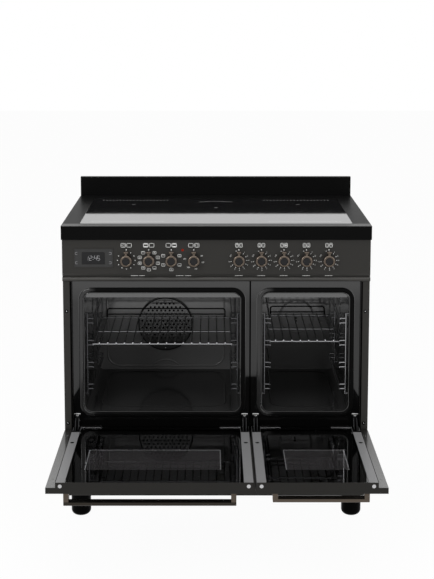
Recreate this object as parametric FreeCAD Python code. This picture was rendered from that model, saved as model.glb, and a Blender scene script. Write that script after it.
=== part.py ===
"""Range cooker with two ovens, an induction hob and drop-down doors.

Millimetres. X points right, Y points to the back, Z points up. The cooker stands on its feet
with both doors open, and the origin is the middle of its footprint in that pose.
"""
import FreeCAD, Part
import os
from math import cos, sin, radians
from FreeCAD import Vector

os.makedirs("parts", exist_ok=True)

# ---------------------------------------------------------------- driving dimensions
WORKTOP_WIDTH = 895.0
WORKTOP_DEPTH = 600.0
WORKTOP_HEIGHT = 895.0
WORKTOP_BAND = 40.0
WORKTOP_SHEET = 6.0
WORKTOP_SKIRT = 2.5
UPSTAND_HEIGHT = 62.0
UPSTAND_DEPTH = 20.0
UPSTAND_ROUND = 1.0
WORKTOP_ROUND = 2.0
SEAT_WIDTH = 20.0

HOB_SIDE_MARGIN = 51.5
HOB_DEPTH = 467.0
HOB_SETBACK = 44.5
HOB_GAP = 1.2
HOB_GLASS = 6.0
HOB_CORNER = 8.0
TRAY_FLANGE = 10.0
TRAY_HEIGHT = 58.0
TRAY_SHEET = 1.5
COIL_REAR_RADIUS = 105.0
COIL_FRONT_RADIUS = 75.0
COIL_MIDDLE_RADIUS = 112.0
COIL_FROM_SIDE = 136.0
COIL_MARGIN = 10.0
COIL_GAP = 24.0
COIL_MIDDLE_FROM_BACK = 184.5
COIL_BORE = 22.0
COIL_HEIGHT = 14.0
COIL_STAND = 30.0
COIL_AIR = 0.5
BOARD_WIDTH = 380.0
BOARD_DEPTH = 60.0
BOARD_HEIGHT = 22.0
BOARD_FROM_FRONT = 30.0

WORKTOP_OVERHANG = 3.0
BODY_BOTTOM = 90.0
BODY_BACK_INSET = 10.0
SHEET = 1.5

PANEL_OVERHANG = 1.0
PANEL_SETBACK = 9.0
PANEL_DROP = 141.0
PANEL_SHEET = 2.0
MOULDING_HEIGHT = 23.0
MOULDING_COVE = 10.0
MOULDING_COVE_DEPTH = 5.0
MOULDING_PROUD = 3.0
MOULDING_BEAD = 6.5

STILE_SETBACK = 11.0
STILE_WIDTH = 23.5
PLATE_CLEAR = 4.0
PLATE_SHEET = 2.0
PLATE_GAP = 3.0
PLATE_ABOVE_PIVOT = 4.5
PLATE_TUCK = 4.0
KICK_PROUD = 14.0
KICK_BELOW_DOOR = 6.5
KICK_SHEET = 1.5
BEAM_LUG = 10.0
BEAM_LAP = 12.0

FOOT_DIAMETER = 58.6
FOOT_ROUND = 15.0
FOOT_SIDE_INSET = 37.5
FOOT_INSET = 85.0
FOOT_STUD = 12.0
FOOT_STUD_RISE = 16.0
STUD_AIR = 0.05

SPLIT_X = 99.0
LEFT_OPENING_FROM_STILE = 35.0
LEFT_OPENING_FROM_SPLIT = 29.0
RIGHT_OPENING_FROM_SPLIT = 35.0
RIGHT_OPENING_FROM_STILE = 33.0
LEFT_WINDOW_FROM_SIDE = 88.5
LEFT_WINDOW_FROM_SPLIT = 86.0
RIGHT_WINDOW_FROM_SPLIT = 83.0
RIGHT_WINDOW_FROM_SIDE = 90.5
HINGE_FROM_STILE = 12.0
LEFT_HINGE_FROM_SPLIT = 13.5
RIGHT_HINGE_FROM_SPLIT = 15.1
LEFT_HANDLE_FROM_SIDE = 43.5
LEFT_HANDLE_FROM_SPLIT = 46.0
RIGHT_HANDLE_FROM_SPLIT = 45.0
RIGHT_HANDLE_FROM_SIDE = 45.5
LEFT_HANDLE_STANDOFF = 42.4
RIGHT_HANDLE_STANDOFF = 32.9
LEFT_SHELF_WIRES = 16
RIGHT_SHELF_WIRES = 8
RIGHT_SHELF_PUSHED = 30.0
DOOR_GAP = 4.0
DOOR_LENGTH = 453.0
DOOR_FLANGE = 16.0
DOOR_THICKNESS = 30.0
DOOR_SKIN = 1.5
DOOR_CLEAR = 1.0
DOOR_SIDE_CLEAR = 2.1
DOOR_INSET_MIDDLE = 2.3
DOOR_HEAD_GAP = 6.5
HINGE_RADIUS = 8.0
RAIL_WIDTH = 24.5
RAIL_WALL = 1.5
RAIL_CUTBACK = 48.0
RAIL_AIR = 0.1
RAIL_END_GAP = 0.5
EAR_LENGTH = 30.0
EAR_MARGIN = 2.0
INNER_GLASS = 4.0
INNER_GLASS_SINK = 1.0
GLASS_CLEAR = 0.4
GLASS_LEDGE = 7.0
RETAINER_LENGTH = 59.0
RETAINER_DEPTH = 12.0
RETAINER_SHEET = 0.9
GLASS_HINGE_GAP = 3.0
END_SCREW_HEAD = 5.0
END_SCREW_SHANK = 2.0
END_SCREW_LENGTH = 12.0
END_SCREW_BELOW = 10.0
SCREW_AIR = 0.05
WINDOW_GLASS = 4.0
WINDOW_LAP = 12.0
WINDOW_DEPTH = 150.0
WINDOW_FAR = 184.0
WINDOW_CORNER = 6.0
WINDOW_LAP_ROUND = 2.0

HANDLE_BAR_DEPTH = 25.0
HANDLE_BAR_THICK = 9.0
HANDLE_POST = 13.5
HANDLE_FROM_EDGE = 23.0
HANDLE_ROUND = 1.5

HINGE_ARM_WIDTH = 12.0
HINGE_CHEEK = 2.8
HINGE_PIN_RADIUS = 3.0
HINGE_PIN_FIT = 0.02
HINGE_RUNNING_FIT = 0.05
HINGE_EYE = 5.5
HINGE_RISE = 38.0
HINGE_ROOT = 18.0
HINGE_NOSE = 6.0
HINGE_HOOK = 6.0
HINGE_HOOK_GAP = 1.0
HINGE_CHANNEL_END = 3.0
HINGE_SIDE_ROOM = 2.0
HINGE_SLOT_CLEAR = 0.5
RECEIVER_WIDTH = 20.0
RECEIVER_THICK = 2.5
RECEIVER_HEAD = 7.0
RECEIVER_STEM = 6.0

OPENING_ABOVE_PIVOT = 57.0
OPENING_BELOW_MOULDING = 37.5
OPENING_CORNER = 22.0
SEAL_CHANNEL = 16.0
SEAL_WIDTH = 12.0
SEAL_PRELOAD_GAP = 0.4
CAVITY_WALL = 1.5
CAVITY_FLANGE = 8.0
CAVITY_BACK_FROM_FRONT = 462.0
LIP_HEIGHT = 19.0
LIP_SETBACK = 22.0
LIP_AIR = 0.05
INSULATION = 25.0
INSULATION_SETBACK = 30.0

RACK_WIRE = 2.2
RACK_ROW_WIRE = 1.8
RACK_AIR = 0.04
RACK_REACH = 17.0
RACK_PEG = 1.8
RACK_PITCH = 66.2
RACK_LEVELS = 4
RACK_PAIR = 13.5
RACK_FIRST = 64.5
RACK_STANDOFF = 7.5
RACK_FRONT_FROM_PLATE = 14.0
RACK_LENGTH = 330.0
RACK_TAIL = 16.0
ROWS_BELOW_SHELF = 2
SHELF_FRAME_WIRE = 2.6
SHELF_CROSS_WIRE = 2.4
SHELF_GUARD_WIRE = 2.2
SHELF_WIRE = 1.9
SHELF_PITCH = 24.6
SHELF_OVERHANG = 1.5
SHELF_WELD = 0.5
SHELF_DEPTH = 318.0
SHELF_SPACING = 144.0
SHELF_REAR_TAIL = 5.0
SHELF_NOSE = 4.0
SHELF_SEAT_GAP = 0.3
SHELF_FRONT_FROM_PLATE = 6.0
GUARD_HEIGHT = 27.0
GUARD_CORNER = 8.0
GUARD_INSET = 15.0
GUARD_LEAN = 7.0
GUARD_AIR = 0.1
GUARD_LOW_BAR = 0.34
GUARD_LOW_WIRE = 2.0

FAN_OFF_CENTRE = 5.7
FAN_BELOW_MIDDLE = 24.0
FAN_COVER_RADIUS = 88.5
FAN_COVER_DEPTH = 14.0
FAN_COVER_SHEET = 1.2
FAN_COVER_ROUND = 5.0
FAN_HOLE = 6.5
FAN_HOLE_PITCH = 13.7
FAN_ROW_PITCH = 11.4
FAN_HOLE_MARGIN = 10.0
FAN_IMPELLER_RADIUS = 55.0
FAN_IMPELLER_DEPTH = 7.0
FAN_IMPELLER_GAP = 1.4
FAN_BLADES = 10
FAN_BLADE_START = 22.0
FAN_BLADE_SHEET = 1.2
FAN_BLADE_RIM = 1.0
FAN_HUB = 8.0
FAN_SHAFT = 3.0
FAN_SHAFT_REACH = 20.0
RING_RADIUS = 74.0
RING_TUBE = 3.2
RING_GAP = 9.0
MOTOR_RADIUS = 34.0
MOTOR_FLANGE = 3.0
MOTOR_SHOULDER = 8.0
MOTOR_LENGTH = 32.0
MOTOR_BORE_SPARE = 4.0
MOTOR_ROOM = 1.0
MOTOR_NECK = 9.0

GRILL_TUBE = 3.25
GRILL_MARGIN = 60.0
GRILL_DROP = 14.0
GRILL_FROM_FRONT = 60.0
GRILL_BEND = 25.0
BASE_TAIL = 40.0
BASE_POCKET_ROOM = 10.0
BASE_DROP = 8.0
BASE_AIR = 0.2

LEFT_KNOBS = 4
RIGHT_KNOBS = 5
KNOB_PITCH = 65.0
KNOBS_FROM_LEFT = 185.5
KNOBS_FROM_RIGHT = 120.5
KNOB_DROP = 101.5
KNOB_RIM_ROUND = 2.5
KNOB_ARM_SETBACK = 2.0
KNOB_STEM_START = 2.0
KNOB_BAR_LAP = 0.5
KNOB_RADIUS = 17.5
KNOB_CAP_RADIUS = 11.0
KNOB_CAP_SINK = 1.6
KNOB_HEIGHT = 20.0
KNOB_AIR = 0.4
KNOB_STEM_WIDTH = 6.5
KNOB_STEM_REACH = 23.0
KNOB_BAR_WIDTH = 13.5
KNOB_BAR_TALL = 5.5
KNOB_ARM_THICK = 9.0
SPINDLE_RADIUS = 3.0
SPINDLE_LENGTH = 16.0
SPINDLE_RUNNING_FIT = 0.05
SPINDLE_HOLE = 4.5
SWITCH_SIDE = 30.0
SWITCH_DEPTH = 26.0

DISPLAY_FROM_LEFT = 91.0
DISPLAY_WIDTH = 113.0
DISPLAY_CORNER = 3.0
DISPLAY_AIR = 0.3
DISPLAY_LIP = 6.0
DISPLAY_SCREEN_RISE = 4.0
DISPLAY_HEIGHT = 55.0
DISPLAY_DROP = 94.5
DISPLAY_PROUD = 1.2
DISPLAY_SCREEN_WIDTH = 96.0
DISPLAY_SCREEN_HEIGHT = 40.0
DISPLAY_BODY = 22.0
LAMP_DROP = 71.4
LAMP_RADIUS = 3.8
LAMP_LENGTH = 14.0
LAMP_INSET = 55.0
LAMP_PROUD = 0.6
LAMP_NUT = 4.0
LAMP_NUT_RIM = 3.0
LAMP_AIR = 0.1
LENS_RADIUS = 18.0
LENS_DEPTH = 8.0
LENS_ROUND = 4.0

BLOWER_WIDTH = 220.0
BLOWER_HEIGHT = 44.0
BLOWER_DEPTH = 80.0
BLOWER_WALL = 1.5
BLOWER_ROTOR = 17.0
BLOWER_ROTOR_AIR = 3.0
BLOWER_SETBACK = 360.0
ROTOR_VANES = 12
ROTOR_VANE_DEPTH = 4.5
ROTOR_VANE_SHEET = 0.8
ROTOR_RIM = 0.5
ROTOR_DISC = 2.0
TERMINAL_WIDTH = 70.0
TERMINAL_DEPTH = 40.0
TERMINAL_HEIGHT = 60.0
TERMINAL_WALL = 2.0
TERMINAL_FROM_SIDE = 114.5
TERMINAL_RISE = 100.0
GLAND_RADIUS = 14.0
GLAND_SHOULDER = 3.0
GLAND_AIR = 0.1
GLAND_BORE = 7.0
GLAND_STAND = 8.0
ANTI_TIP_FROM_SIDE = 94.5
ANTI_TIP_BELOW_BAND = 35.0
ANTI_TIP_HOLE = 3.5

# ---------------------------------------------------------------- derived places
BODY_WIDTH = WORKTOP_WIDTH - 2 * WORKTOP_OVERHANG
PANEL_WIDTH = BODY_WIDTH + 2 * PANEL_OVERHANG
HOB_WIDTH = WORKTOP_WIDTH - 2 * HOB_SIDE_MARGIN
DOOR_REACH = DOOR_LENGTH + DOOR_CLEAR - STILE_SETBACK
Y_FRONT = (DOOR_REACH - WORKTOP_DEPTH) / 2
Y_BACK = Y_FRONT + WORKTOP_DEPTH
Z_TOP = WORKTOP_HEIGHT
Z_BAND = Z_TOP - WORKTOP_BAND
Y_PANEL = Y_FRONT + PANEL_SETBACK
Z_PANEL = Z_TOP - PANEL_DROP
Z_MOULDING = Z_PANEL - MOULDING_HEIGHT
Y_STILE = Y_FRONT + STILE_SETBACK
Y_PLATE = Y_STILE - DOOR_CLEAR - 2 * HINGE_RADIUS + DOOR_THICKNESS + PLATE_CLEAR
Y_PLATE_BACK = Y_PLATE + PLATE_SHEET
Y_BODY_BACK = Y_BACK - BODY_BACK_INSET
BODY_HALF = BODY_WIDTH / 2
INNER_HALF = BODY_HALF - STILE_WIDTH
Y_PIVOT = Y_STILE - DOOR_CLEAR - HINGE_RADIUS
DOOR_TOP_CLOSED = Z_MOULDING - DOOR_HEAD_GAP
Z_PIVOT = DOOR_TOP_CLOSED - DOOR_LENGTH + HINGE_RADIUS
Z_DOOR = Z_PIVOT - HINGE_RADIUS
Z_DOOR_FLANGE = Z_DOOR + DOOR_FLANGE
Z_DOOR_IN = Z_DOOR + DOOR_THICKNESS
Y_DOOR_REAR = Y_PIVOT + HINGE_RADIUS
Y_DOOR_FRONT = Y_DOOR_REAR - DOOR_LENGTH
Z_KNOB = Z_TOP - KNOB_DROP
PLATE_BOTTOM = Z_PIVOT + PLATE_ABOVE_PIVOT
KICK_TOP = Z_DOOR - KICK_BELOW_DOOR
OPENING_BOTTOM = Z_PIVOT + OPENING_ABOVE_PIVOT
OPENING_TOP = Z_MOULDING - OPENING_BELOW_MOULDING
Y_CAVITY_BACK = Y_FRONT + CAVITY_BACK_FROM_FRONT
Y_RACK = Y_PLATE + RACK_FRONT_FROM_PLATE
HOB_Y0 = Y_FRONT + HOB_SETBACK
HOB_Y1 = HOB_Y0 + HOB_DEPTH
FOOT_X = BODY_HALF - FOOT_SIDE_INSET
TERMINAL_X = BODY_HALF - TERMINAL_FROM_SIDE
TERMINAL_Z = BODY_BOTTOM + TERMINAL_RISE
ANTI_TIP_X = BODY_HALF - ANTI_TIP_FROM_SIDE
ANTI_TIP_Z = Z_BAND - ANTI_TIP_BELOW_BAND
DISPLAY_X = DISPLAY_FROM_LEFT - PANEL_WIDTH / 2
FIRST_KNOB = KNOBS_FROM_LEFT - PANEL_WIDTH / 2
LAST_KNOB = PANEL_WIDTH / 2 - KNOBS_FROM_RIGHT
KNOB_X = [FIRST_KNOB + i * KNOB_PITCH for i in range(LEFT_KNOBS)]
KNOB_X += [LAST_KNOB - i * KNOB_PITCH for i in reversed(range(RIGHT_KNOBS))]
LAMP_X = FIRST_KNOB + (LEFT_KNOBS - 1.5) * KNOB_PITCH
COIL_X = HOB_WIDTH / 2 - COIL_FROM_SIDE
COIL_REAR_Y = HOB_Y1 - TRAY_FLANGE - TRAY_SHEET - COIL_MARGIN - COIL_REAR_RADIUS
COIL_FRONT_Y = COIL_REAR_Y - COIL_REAR_RADIUS - COIL_GAP - COIL_FRONT_RADIUS
COIL_MIDDLE_Y = HOB_Y1 - COIL_MIDDLE_FROM_BACK

DOOR_INSET_OUTER = STILE_WIDTH + DOOR_SIDE_CLEAR
LEFT_DOOR_END = SPLIT_X - DOOR_GAP / 2
RIGHT_DOOR_END = SPLIT_X + DOOR_GAP / 2
LEFT = {
    "opening": (LEFT_OPENING_FROM_STILE - INNER_HALF, SPLIT_X - LEFT_OPENING_FROM_SPLIT),
    "door": (-BODY_HALF, LEFT_DOOR_END),
    "window": (LEFT_WINDOW_FROM_SIDE - BODY_HALF, LEFT_DOOR_END - LEFT_WINDOW_FROM_SPLIT),
    "hinges": (HINGE_FROM_STILE - INNER_HALF, LEFT_DOOR_END - LEFT_HINGE_FROM_SPLIT),
    "handle": (LEFT_HANDLE_FROM_SIDE - BODY_HALF, LEFT_DOOR_END - LEFT_HANDLE_FROM_SPLIT),
    "handle_standoff": LEFT_HANDLE_STANDOFF,
    "outer_is_left": True,
    "shelf_wires": LEFT_SHELF_WIRES,
    "shelf_pushed": 0.0,
}
RIGHT = {
    "opening": (SPLIT_X + RIGHT_OPENING_FROM_SPLIT, INNER_HALF - RIGHT_OPENING_FROM_STILE),
    "door": (RIGHT_DOOR_END, BODY_HALF),
    "window": (RIGHT_DOOR_END + RIGHT_WINDOW_FROM_SPLIT, BODY_HALF - RIGHT_WINDOW_FROM_SIDE),
    "hinges": (RIGHT_DOOR_END + RIGHT_HINGE_FROM_SPLIT, INNER_HALF - HINGE_FROM_STILE),
    "handle": (RIGHT_DOOR_END + RIGHT_HANDLE_FROM_SPLIT, BODY_HALF - RIGHT_HANDLE_FROM_SIDE),
    "handle_standoff": RIGHT_HANDLE_STANDOFF,
    "outer_is_left": False,
    "shelf_wires": RIGHT_SHELF_WIRES,
    "shelf_pushed": RIGHT_SHELF_PUSHED,
}
OVENS = {"left": LEFT, "right": RIGHT}
FAN_X = sum(LEFT["opening"]) / 2 - FAN_OFF_CENTRE
FAN_Z = (OPENING_BOTTOM + OPENING_TOP) / 2 - FAN_BELOW_MIDDLE


# ---------------------------------------------------------------- small helpers
def export(name, shape):
    """Write one sub-part."""
    shape.exportStep("parts/" + name + ".step")


def box(x0, x1, y0, y1, z0, z1):
    """A block between two corners."""
    return Part.makeBox(x1 - x0, y1 - y0, z1 - z0, Vector(x0, y0, z0))


def rod(start, end, radius):
    """A round bar between two points."""
    a, b = Vector(*start), Vector(*end)
    return Part.makeCylinder(radius, (b - a).Length, a, b - a)


def rounded_face(a0, a1, b0, b1, radius):
    """A rectangle with round corners in the XY plane."""
    r = radius
    corners = ((a1 - r, b0 + r, -90), (a1 - r, b1 - r, 0), (a0 + r, b1 - r, 90), (a0 + r, b0 + r, 180))
    edges = []
    last = None
    first = None
    for ca, cb, turn in corners:
        p = [Vector(ca + r * cos(radians(turn + t)), cb + r * sin(radians(turn + t)), 0) for t in (0, 45, 90)]
        if last is not None:
            edges.append(Part.LineSegment(last, p[0]).toShape())
        edges.append(Part.Arc(*p).toShape())
        last = p[2]
        first = first or p[0]
    edges.append(Part.LineSegment(last, first).toShape())
    return Part.Face(Part.Wire(edges))


def slab_z(x0, x1, y0, y1, radius, z0, z1):
    """A flat block with round corners, standing along Z."""
    face = rounded_face(x0, x1, y0, y1, radius)
    face.translate(Vector(0, 0, z0))
    return face.extrude(Vector(0, 0, z1 - z0))


def slab_y(x0, x1, z0, z1, radius, y0, y1):
    """A flat block with round corners, standing along Y."""
    face = rounded_face(x0, x1, -z1, -z0, radius)
    face.rotate(Vector(0, 0, 0), Vector(1, 0, 0), -90)
    face.translate(Vector(0, y0, 0))
    return face.extrude(Vector(0, y1 - y0, 0))


def prism_x(points, x0, x1):
    """A (Y, Z) outline drawn out along X."""
    wire = Part.makePolygon([Vector(x0, y, z) for y, z in points] + [Vector(x0, *points[0])])
    return Part.Face(wire).extrude(Vector(x1 - x0, 0, 0))


def group(shapes):
    """Separate solids kept in one sub-part."""
    return Part.makeCompound(shapes)


def bent_wire(points, bend, radius):
    """A wire through points, with a round bend at each inner point."""
    v = [Vector(*p) for p in points]
    edges = []
    here = v[0]
    for i in range(1, len(v) - 1):
        into = (v[i] - v[i - 1]).normalize()
        out = (v[i + 1] - v[i]).normalize()
        half = into.getAngle(out) / 2
        cut = bend * sin(half) / cos(half)
        start, end = v[i] - into * cut, v[i] + out * cut
        inward = (out - into).normalize()
        middle = v[i] + inward * (bend / cos(half) - bend)
        edges.append(Part.LineSegment(here, start).toShape())
        edges.append(Part.Arc(start, middle, end).toShape())
        here = end
    edges.append(Part.LineSegment(here, v[-1]).toShape())
    ring = Part.Wire(Part.Circle(v[0], v[1] - v[0], radius).toShape())
    return Part.Wire(edges).makePipeShell([ring], True, False)


# ---------------------------------------------------------------- casing
def make_base_pan():
    pan = box(-BODY_HALF + SHEET, BODY_HALF - SHEET, Y_STILE, Y_BODY_BACK - SHEET, BODY_BOTTOM, BODY_BOTTOM + SHEET)
    for x, y in foot_places():
        pan = pan.cut(rod((x, y, BODY_BOTTOM - 1), (x, y, BODY_BOTTOM + SHEET + 1), FOOT_STUD / 2 + STUD_AIR))
    return pan


def make_side_panels():
    panels = []
    for side in (-1, 1):
        outer, inner = side * BODY_HALF, side * (BODY_HALF - SHEET)
        x0, x1 = min(outer, inner), max(outer, inner)
        panels.append(box(x0, x1, Y_PLATE, Y_BODY_BACK, BODY_BOTTOM, Z_BAND))
    return group(panels)


def make_back_panel():
    panel = box(-BODY_HALF + SHEET, BODY_HALF - SHEET, Y_BODY_BACK - SHEET, Y_BODY_BACK, BODY_BOTTOM, Z_BAND)
    y0, y1 = Y_BODY_BACK - 2 * SHEET, Y_BODY_BACK + SHEET
    for x in (-ANTI_TIP_X, ANTI_TIP_X):
        panel = panel.cut(rod((x, y0, ANTI_TIP_Z), (x, y1, ANTI_TIP_Z), ANTI_TIP_HOLE))
    neck = GLAND_RADIUS - GLAND_SHOULDER
    return panel.cut(rod((TERMINAL_X, y0, TERMINAL_Z), (TERMINAL_X, y1, TERMINAL_Z), neck))


def make_front_stiles():
    stiles = []
    for side in (-1, 1):
        outer, inner = side * BODY_HALF, side * INNER_HALF
        x0, x1 = min(outer, inner), max(outer, inner)
        stiles.append(box(x0, x1, Y_STILE, Y_PLATE, KICK_TOP, Z_MOULDING))
    return group(stiles)


def make_kick_panel():
    front = Y_STILE - KICK_PROUD
    full = box(-BODY_HALF, BODY_HALF, front, Y_STILE, BODY_BOTTOM, KICK_TOP)
    hollow = box(-BODY_HALF + KICK_SHEET, BODY_HALF - KICK_SHEET, front + KICK_SHEET, Y_STILE + 1,
                 BODY_BOTTOM + KICK_SHEET, KICK_TOP - KICK_SHEET)
    return full.cut(hollow)


def make_plinth_beam():
    """The beam behind the kick panel that ties the stiles, the base and the front plates."""
    beam = box(-BODY_HALF + SHEET, BODY_HALF - SHEET, Y_STILE, Y_PLATE, BODY_BOTTOM + SHEET, KICK_TOP)
    room = box(-INNER_HALF, INNER_HALF, Y_STILE + SHEET, Y_PLATE + 1, BODY_BOTTOM + 2 * SHEET, KICK_TOP - SHEET)
    lug = box(-INNER_HALF, INNER_HALF, Y_PLATE_BACK, Y_PLATE_BACK + SHEET, KICK_TOP - BEAM_LUG, PLATE_BOTTOM + BEAM_LAP)
    foot = box(-INNER_HALF, INNER_HALF, Y_STILE + SHEET, Y_PLATE_BACK + SHEET, KICK_TOP - SHEET, KICK_TOP)
    return beam.cut(room).fuse(foot).fuse(lug).removeSplitter()


def foot_places():
    ys = (Y_FRONT + FOOT_INSET, Y_BODY_BACK - FOOT_INSET)
    return [(x, y) for x in (-FOOT_X, FOOT_X) for y in ys]


def make_feet():
    feet = []
    for x, y in foot_places():
        pad = rod((x, y, 0), (x, y, BODY_BOTTOM), FOOT_DIAMETER / 2)
        low_edge = [e for e in pad.Edges if e.BoundBox.ZMax < 0.1]
        pad = pad.makeFillet(FOOT_ROUND, low_edge)
        stud = rod((x, y, BODY_BOTTOM - FOOT_STUD), (x, y, BODY_BOTTOM + FOOT_STUD_RISE), FOOT_STUD / 2)
        feet.append(pad.fuse(stud))
    return group(feet)


def front_plate(oven):
    """Enamelled plate round one oven opening."""
    x0, x1 = OVENS[oven]["opening"]
    if oven == "left":
        p0, p1 = -BODY_HALF + SHEET, SPLIT_X - PLATE_GAP / 2
    else:
        p0, p1 = SPLIT_X + PLATE_GAP / 2, BODY_HALF - SHEET
    plate = box(p0, p1, Y_PLATE, Y_PLATE_BACK, PLATE_BOTTOM, Z_MOULDING + PLATE_TUCK)
    c = SEAL_CHANNEL
    hole = slab_y(x0 - c, x1 + c, OPENING_BOTTOM - c, OPENING_TOP + c, OPENING_CORNER + c, Y_PLATE - 1, Y_PLATE_BACK + 1)
    plate = plate.cut(hole)
    for hx in OVENS[oven]["hinges"]:
        plate = plate.cut(hinge_slot(hx, Y_PLATE - 1, Y_PLATE_BACK + 1))
    return plate


# ---------------------------------------------------------------- ovens
def make_cavity(oven):
    x0, x1 = OVENS[oven]["opening"]
    w = CAVITY_WALL
    r = OPENING_CORNER
    z0, z1 = OPENING_BOTTOM, OPENING_TOP
    shell = slab_y(x0 - w, x1 + w, z0 - w, z1 + w, r + w, Y_PLATE, Y_CAVITY_BACK + w)
    room = slab_y(x0, x1, z0, z1, r, Y_PLATE - 1, Y_CAVITY_BACK)
    reach = SEAL_CHANNEL + CAVITY_FLANGE
    flange = slab_y(x0 - reach, x1 + reach, z0 - reach, z1 + reach, r + reach, Y_PLATE_BACK, Y_PLATE_BACK + w)
    for hx in OVENS[oven]["hinges"]:
        flange = flange.cut(hinge_slot(hx, Y_PLATE_BACK - 1, Y_PLATE_BACK + w + 1))
    cavity = shell.fuse(flange).cut(room)
    y_lip = Y_PLATE + LIP_SETBACK
    a = LIP_AIR
    lip = slab_y(x0 + a, x1 - a, z0, z1 - a, r - a, y_lip, y_lip + w)
    lip = lip.common(box(x0, x1, y_lip - 1, y_lip + w + 1, z1 - LIP_HEIGHT, z1))
    if oven == "left":
        shaft_hole = rod((FAN_X, Y_CAVITY_BACK - 1, FAN_Z), (FAN_X, Y_CAVITY_BACK + w + 1, FAN_Z), MOTOR_NECK)
        cavity = cavity.cut(shaft_hole)
    return group([cavity.removeSplitter(), lip])


def make_seal(oven):
    x0, x1 = OVENS[oven]["opening"]
    side = (SEAL_CHANNEL - CAVITY_WALL - SEAL_WIDTH) / 2
    inner = CAVITY_WALL + side
    outer = inner + SEAL_WIDTH
    front = Y_PLATE - PLATE_CLEAR + SEAL_PRELOAD_GAP
    z0, z1 = OPENING_BOTTOM, OPENING_TOP
    r = OPENING_CORNER
    ring = slab_y(x0 - outer, x1 + outer, z0 - outer, z1 + outer, r + outer, front, Y_PLATE_BACK)
    hole = slab_y(x0 - inner, x1 + inner, z0 - inner, z1 + inner, r + inner, front - 1, Y_PLATE_BACK + 1)
    ring = ring.cut(hole)
    front_edges = [e for e in ring.Edges if e.BoundBox.YMax < front + 0.1]
    return ring.makeFillet(SEAL_WIDTH / 4, front_edges)


def make_insulation():
    wraps = []
    for oven in OVENS.values():
        x0, x1 = oven["opening"]
        w = CAVITY_WALL
        t = w + INSULATION
        r = OPENING_CORNER
        start = Y_PLATE_BACK + w + INSULATION_SETBACK
        z0, z1 = OPENING_BOTTOM, OPENING_TOP
        outer = slab_y(x0 - t, x1 + t, z0 - t, z1 + t, r + t, start, Y_CAVITY_BACK + t)
        inner = slab_y(x0 - w, x1 + w, z0 - w, z1 + w, r + w, start - 1, Y_CAVITY_BACK + w)
        wraps.append(outer.cut(inner))
    motor_room = rod((FAN_X, Y_CAVITY_BACK, FAN_Z), (FAN_X, Y_CAVITY_BACK + 2 * INSULATION, FAN_Z), MOTOR_RADIUS + MOTOR_ROOM)
    wraps[0] = wraps[0].cut(motor_room)
    z_floor = OPENING_BOTTOM - CAVITY_WALL
    for i, oven in enumerate(OVENS.values()):
        x0, x1 = oven["opening"]
        pocket = box(x0 + GRILL_MARGIN / 2, x1 - GRILL_MARGIN / 2, Y_PLATE_BACK + INSULATION_SETBACK,
                     Y_CAVITY_BACK - BASE_TAIL + BASE_POCKET_ROOM, z_floor - BASE_DROP - 2 * GRILL_TUBE, z_floor)
        wraps[i] = wraps[i].cut(pocket)
    return group(wraps)


def heater_loop(x0, x1, z, y_tail):
    """A U shaped tubular element, with both ends running back to y_tail."""
    y_near = Y_PLATE_BACK + GRILL_FROM_FRONT
    points = [(x0, y_tail, z), (x0, y_near, z), (x1, y_near, z), (x1, y_tail, z)]
    return bent_wire(points, GRILL_BEND, GRILL_TUBE)


def make_heating_elements():
    loops = []
    for oven in OVENS.values():
        x0, x1 = oven["opening"]
        z_grill = OPENING_TOP - GRILL_DROP
        loops.append(heater_loop(x0 + GRILL_MARGIN, x1 - GRILL_MARGIN, z_grill, Y_CAVITY_BACK))
        z_base = OPENING_BOTTOM - CAVITY_WALL - GRILL_TUBE - BASE_AIR
        loops.append(heater_loop(x0 + GRILL_MARGIN, x1 - GRILL_MARGIN, z_base, Y_CAVITY_BACK - BASE_TAIL))
    return group(loops)


def make_fan_cover():
    y1 = Y_CAVITY_BACK
    y0 = y1 - FAN_COVER_DEPTH - FAN_COVER_SHEET
    outer = rod((FAN_X, y0, FAN_Z), (FAN_X, y1, FAN_Z), FAN_COVER_RADIUS)
    front_edge = [e for e in outer.Edges if e.BoundBox.YMax < y0 + 0.1]
    outer = outer.makeFillet(FAN_COVER_ROUND, front_edge)
    inner = rod((FAN_X, y0 + FAN_COVER_SHEET, FAN_Z), (FAN_X, y1 + 1, FAN_Z), FAN_COVER_RADIUS - FAN_COVER_SHEET)
    holes = []
    rows = int(FAN_COVER_RADIUS / FAN_ROW_PITCH)
    columns = int(FAN_COVER_RADIUS / FAN_HOLE_PITCH)
    for row in range(-rows, rows + 1):
        shift = FAN_HOLE_PITCH / 2 if row % 2 else 0.0
        for column in range(-columns - 1, columns + 1):
            dx = column * FAN_HOLE_PITCH + shift
            dz = row * FAN_ROW_PITCH
            if (dx * dx + dz * dz) ** 0.5 < FAN_COVER_RADIUS - FAN_HOLE_MARGIN:
                x, z = FAN_X + dx, FAN_Z + dz
                holes.append(rod((x, y0 - 1, z), (x, y0 + FAN_COVER_SHEET + 1, z), FAN_HOLE / 2))
    return outer.cut(inner).cut(group(holes))


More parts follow.
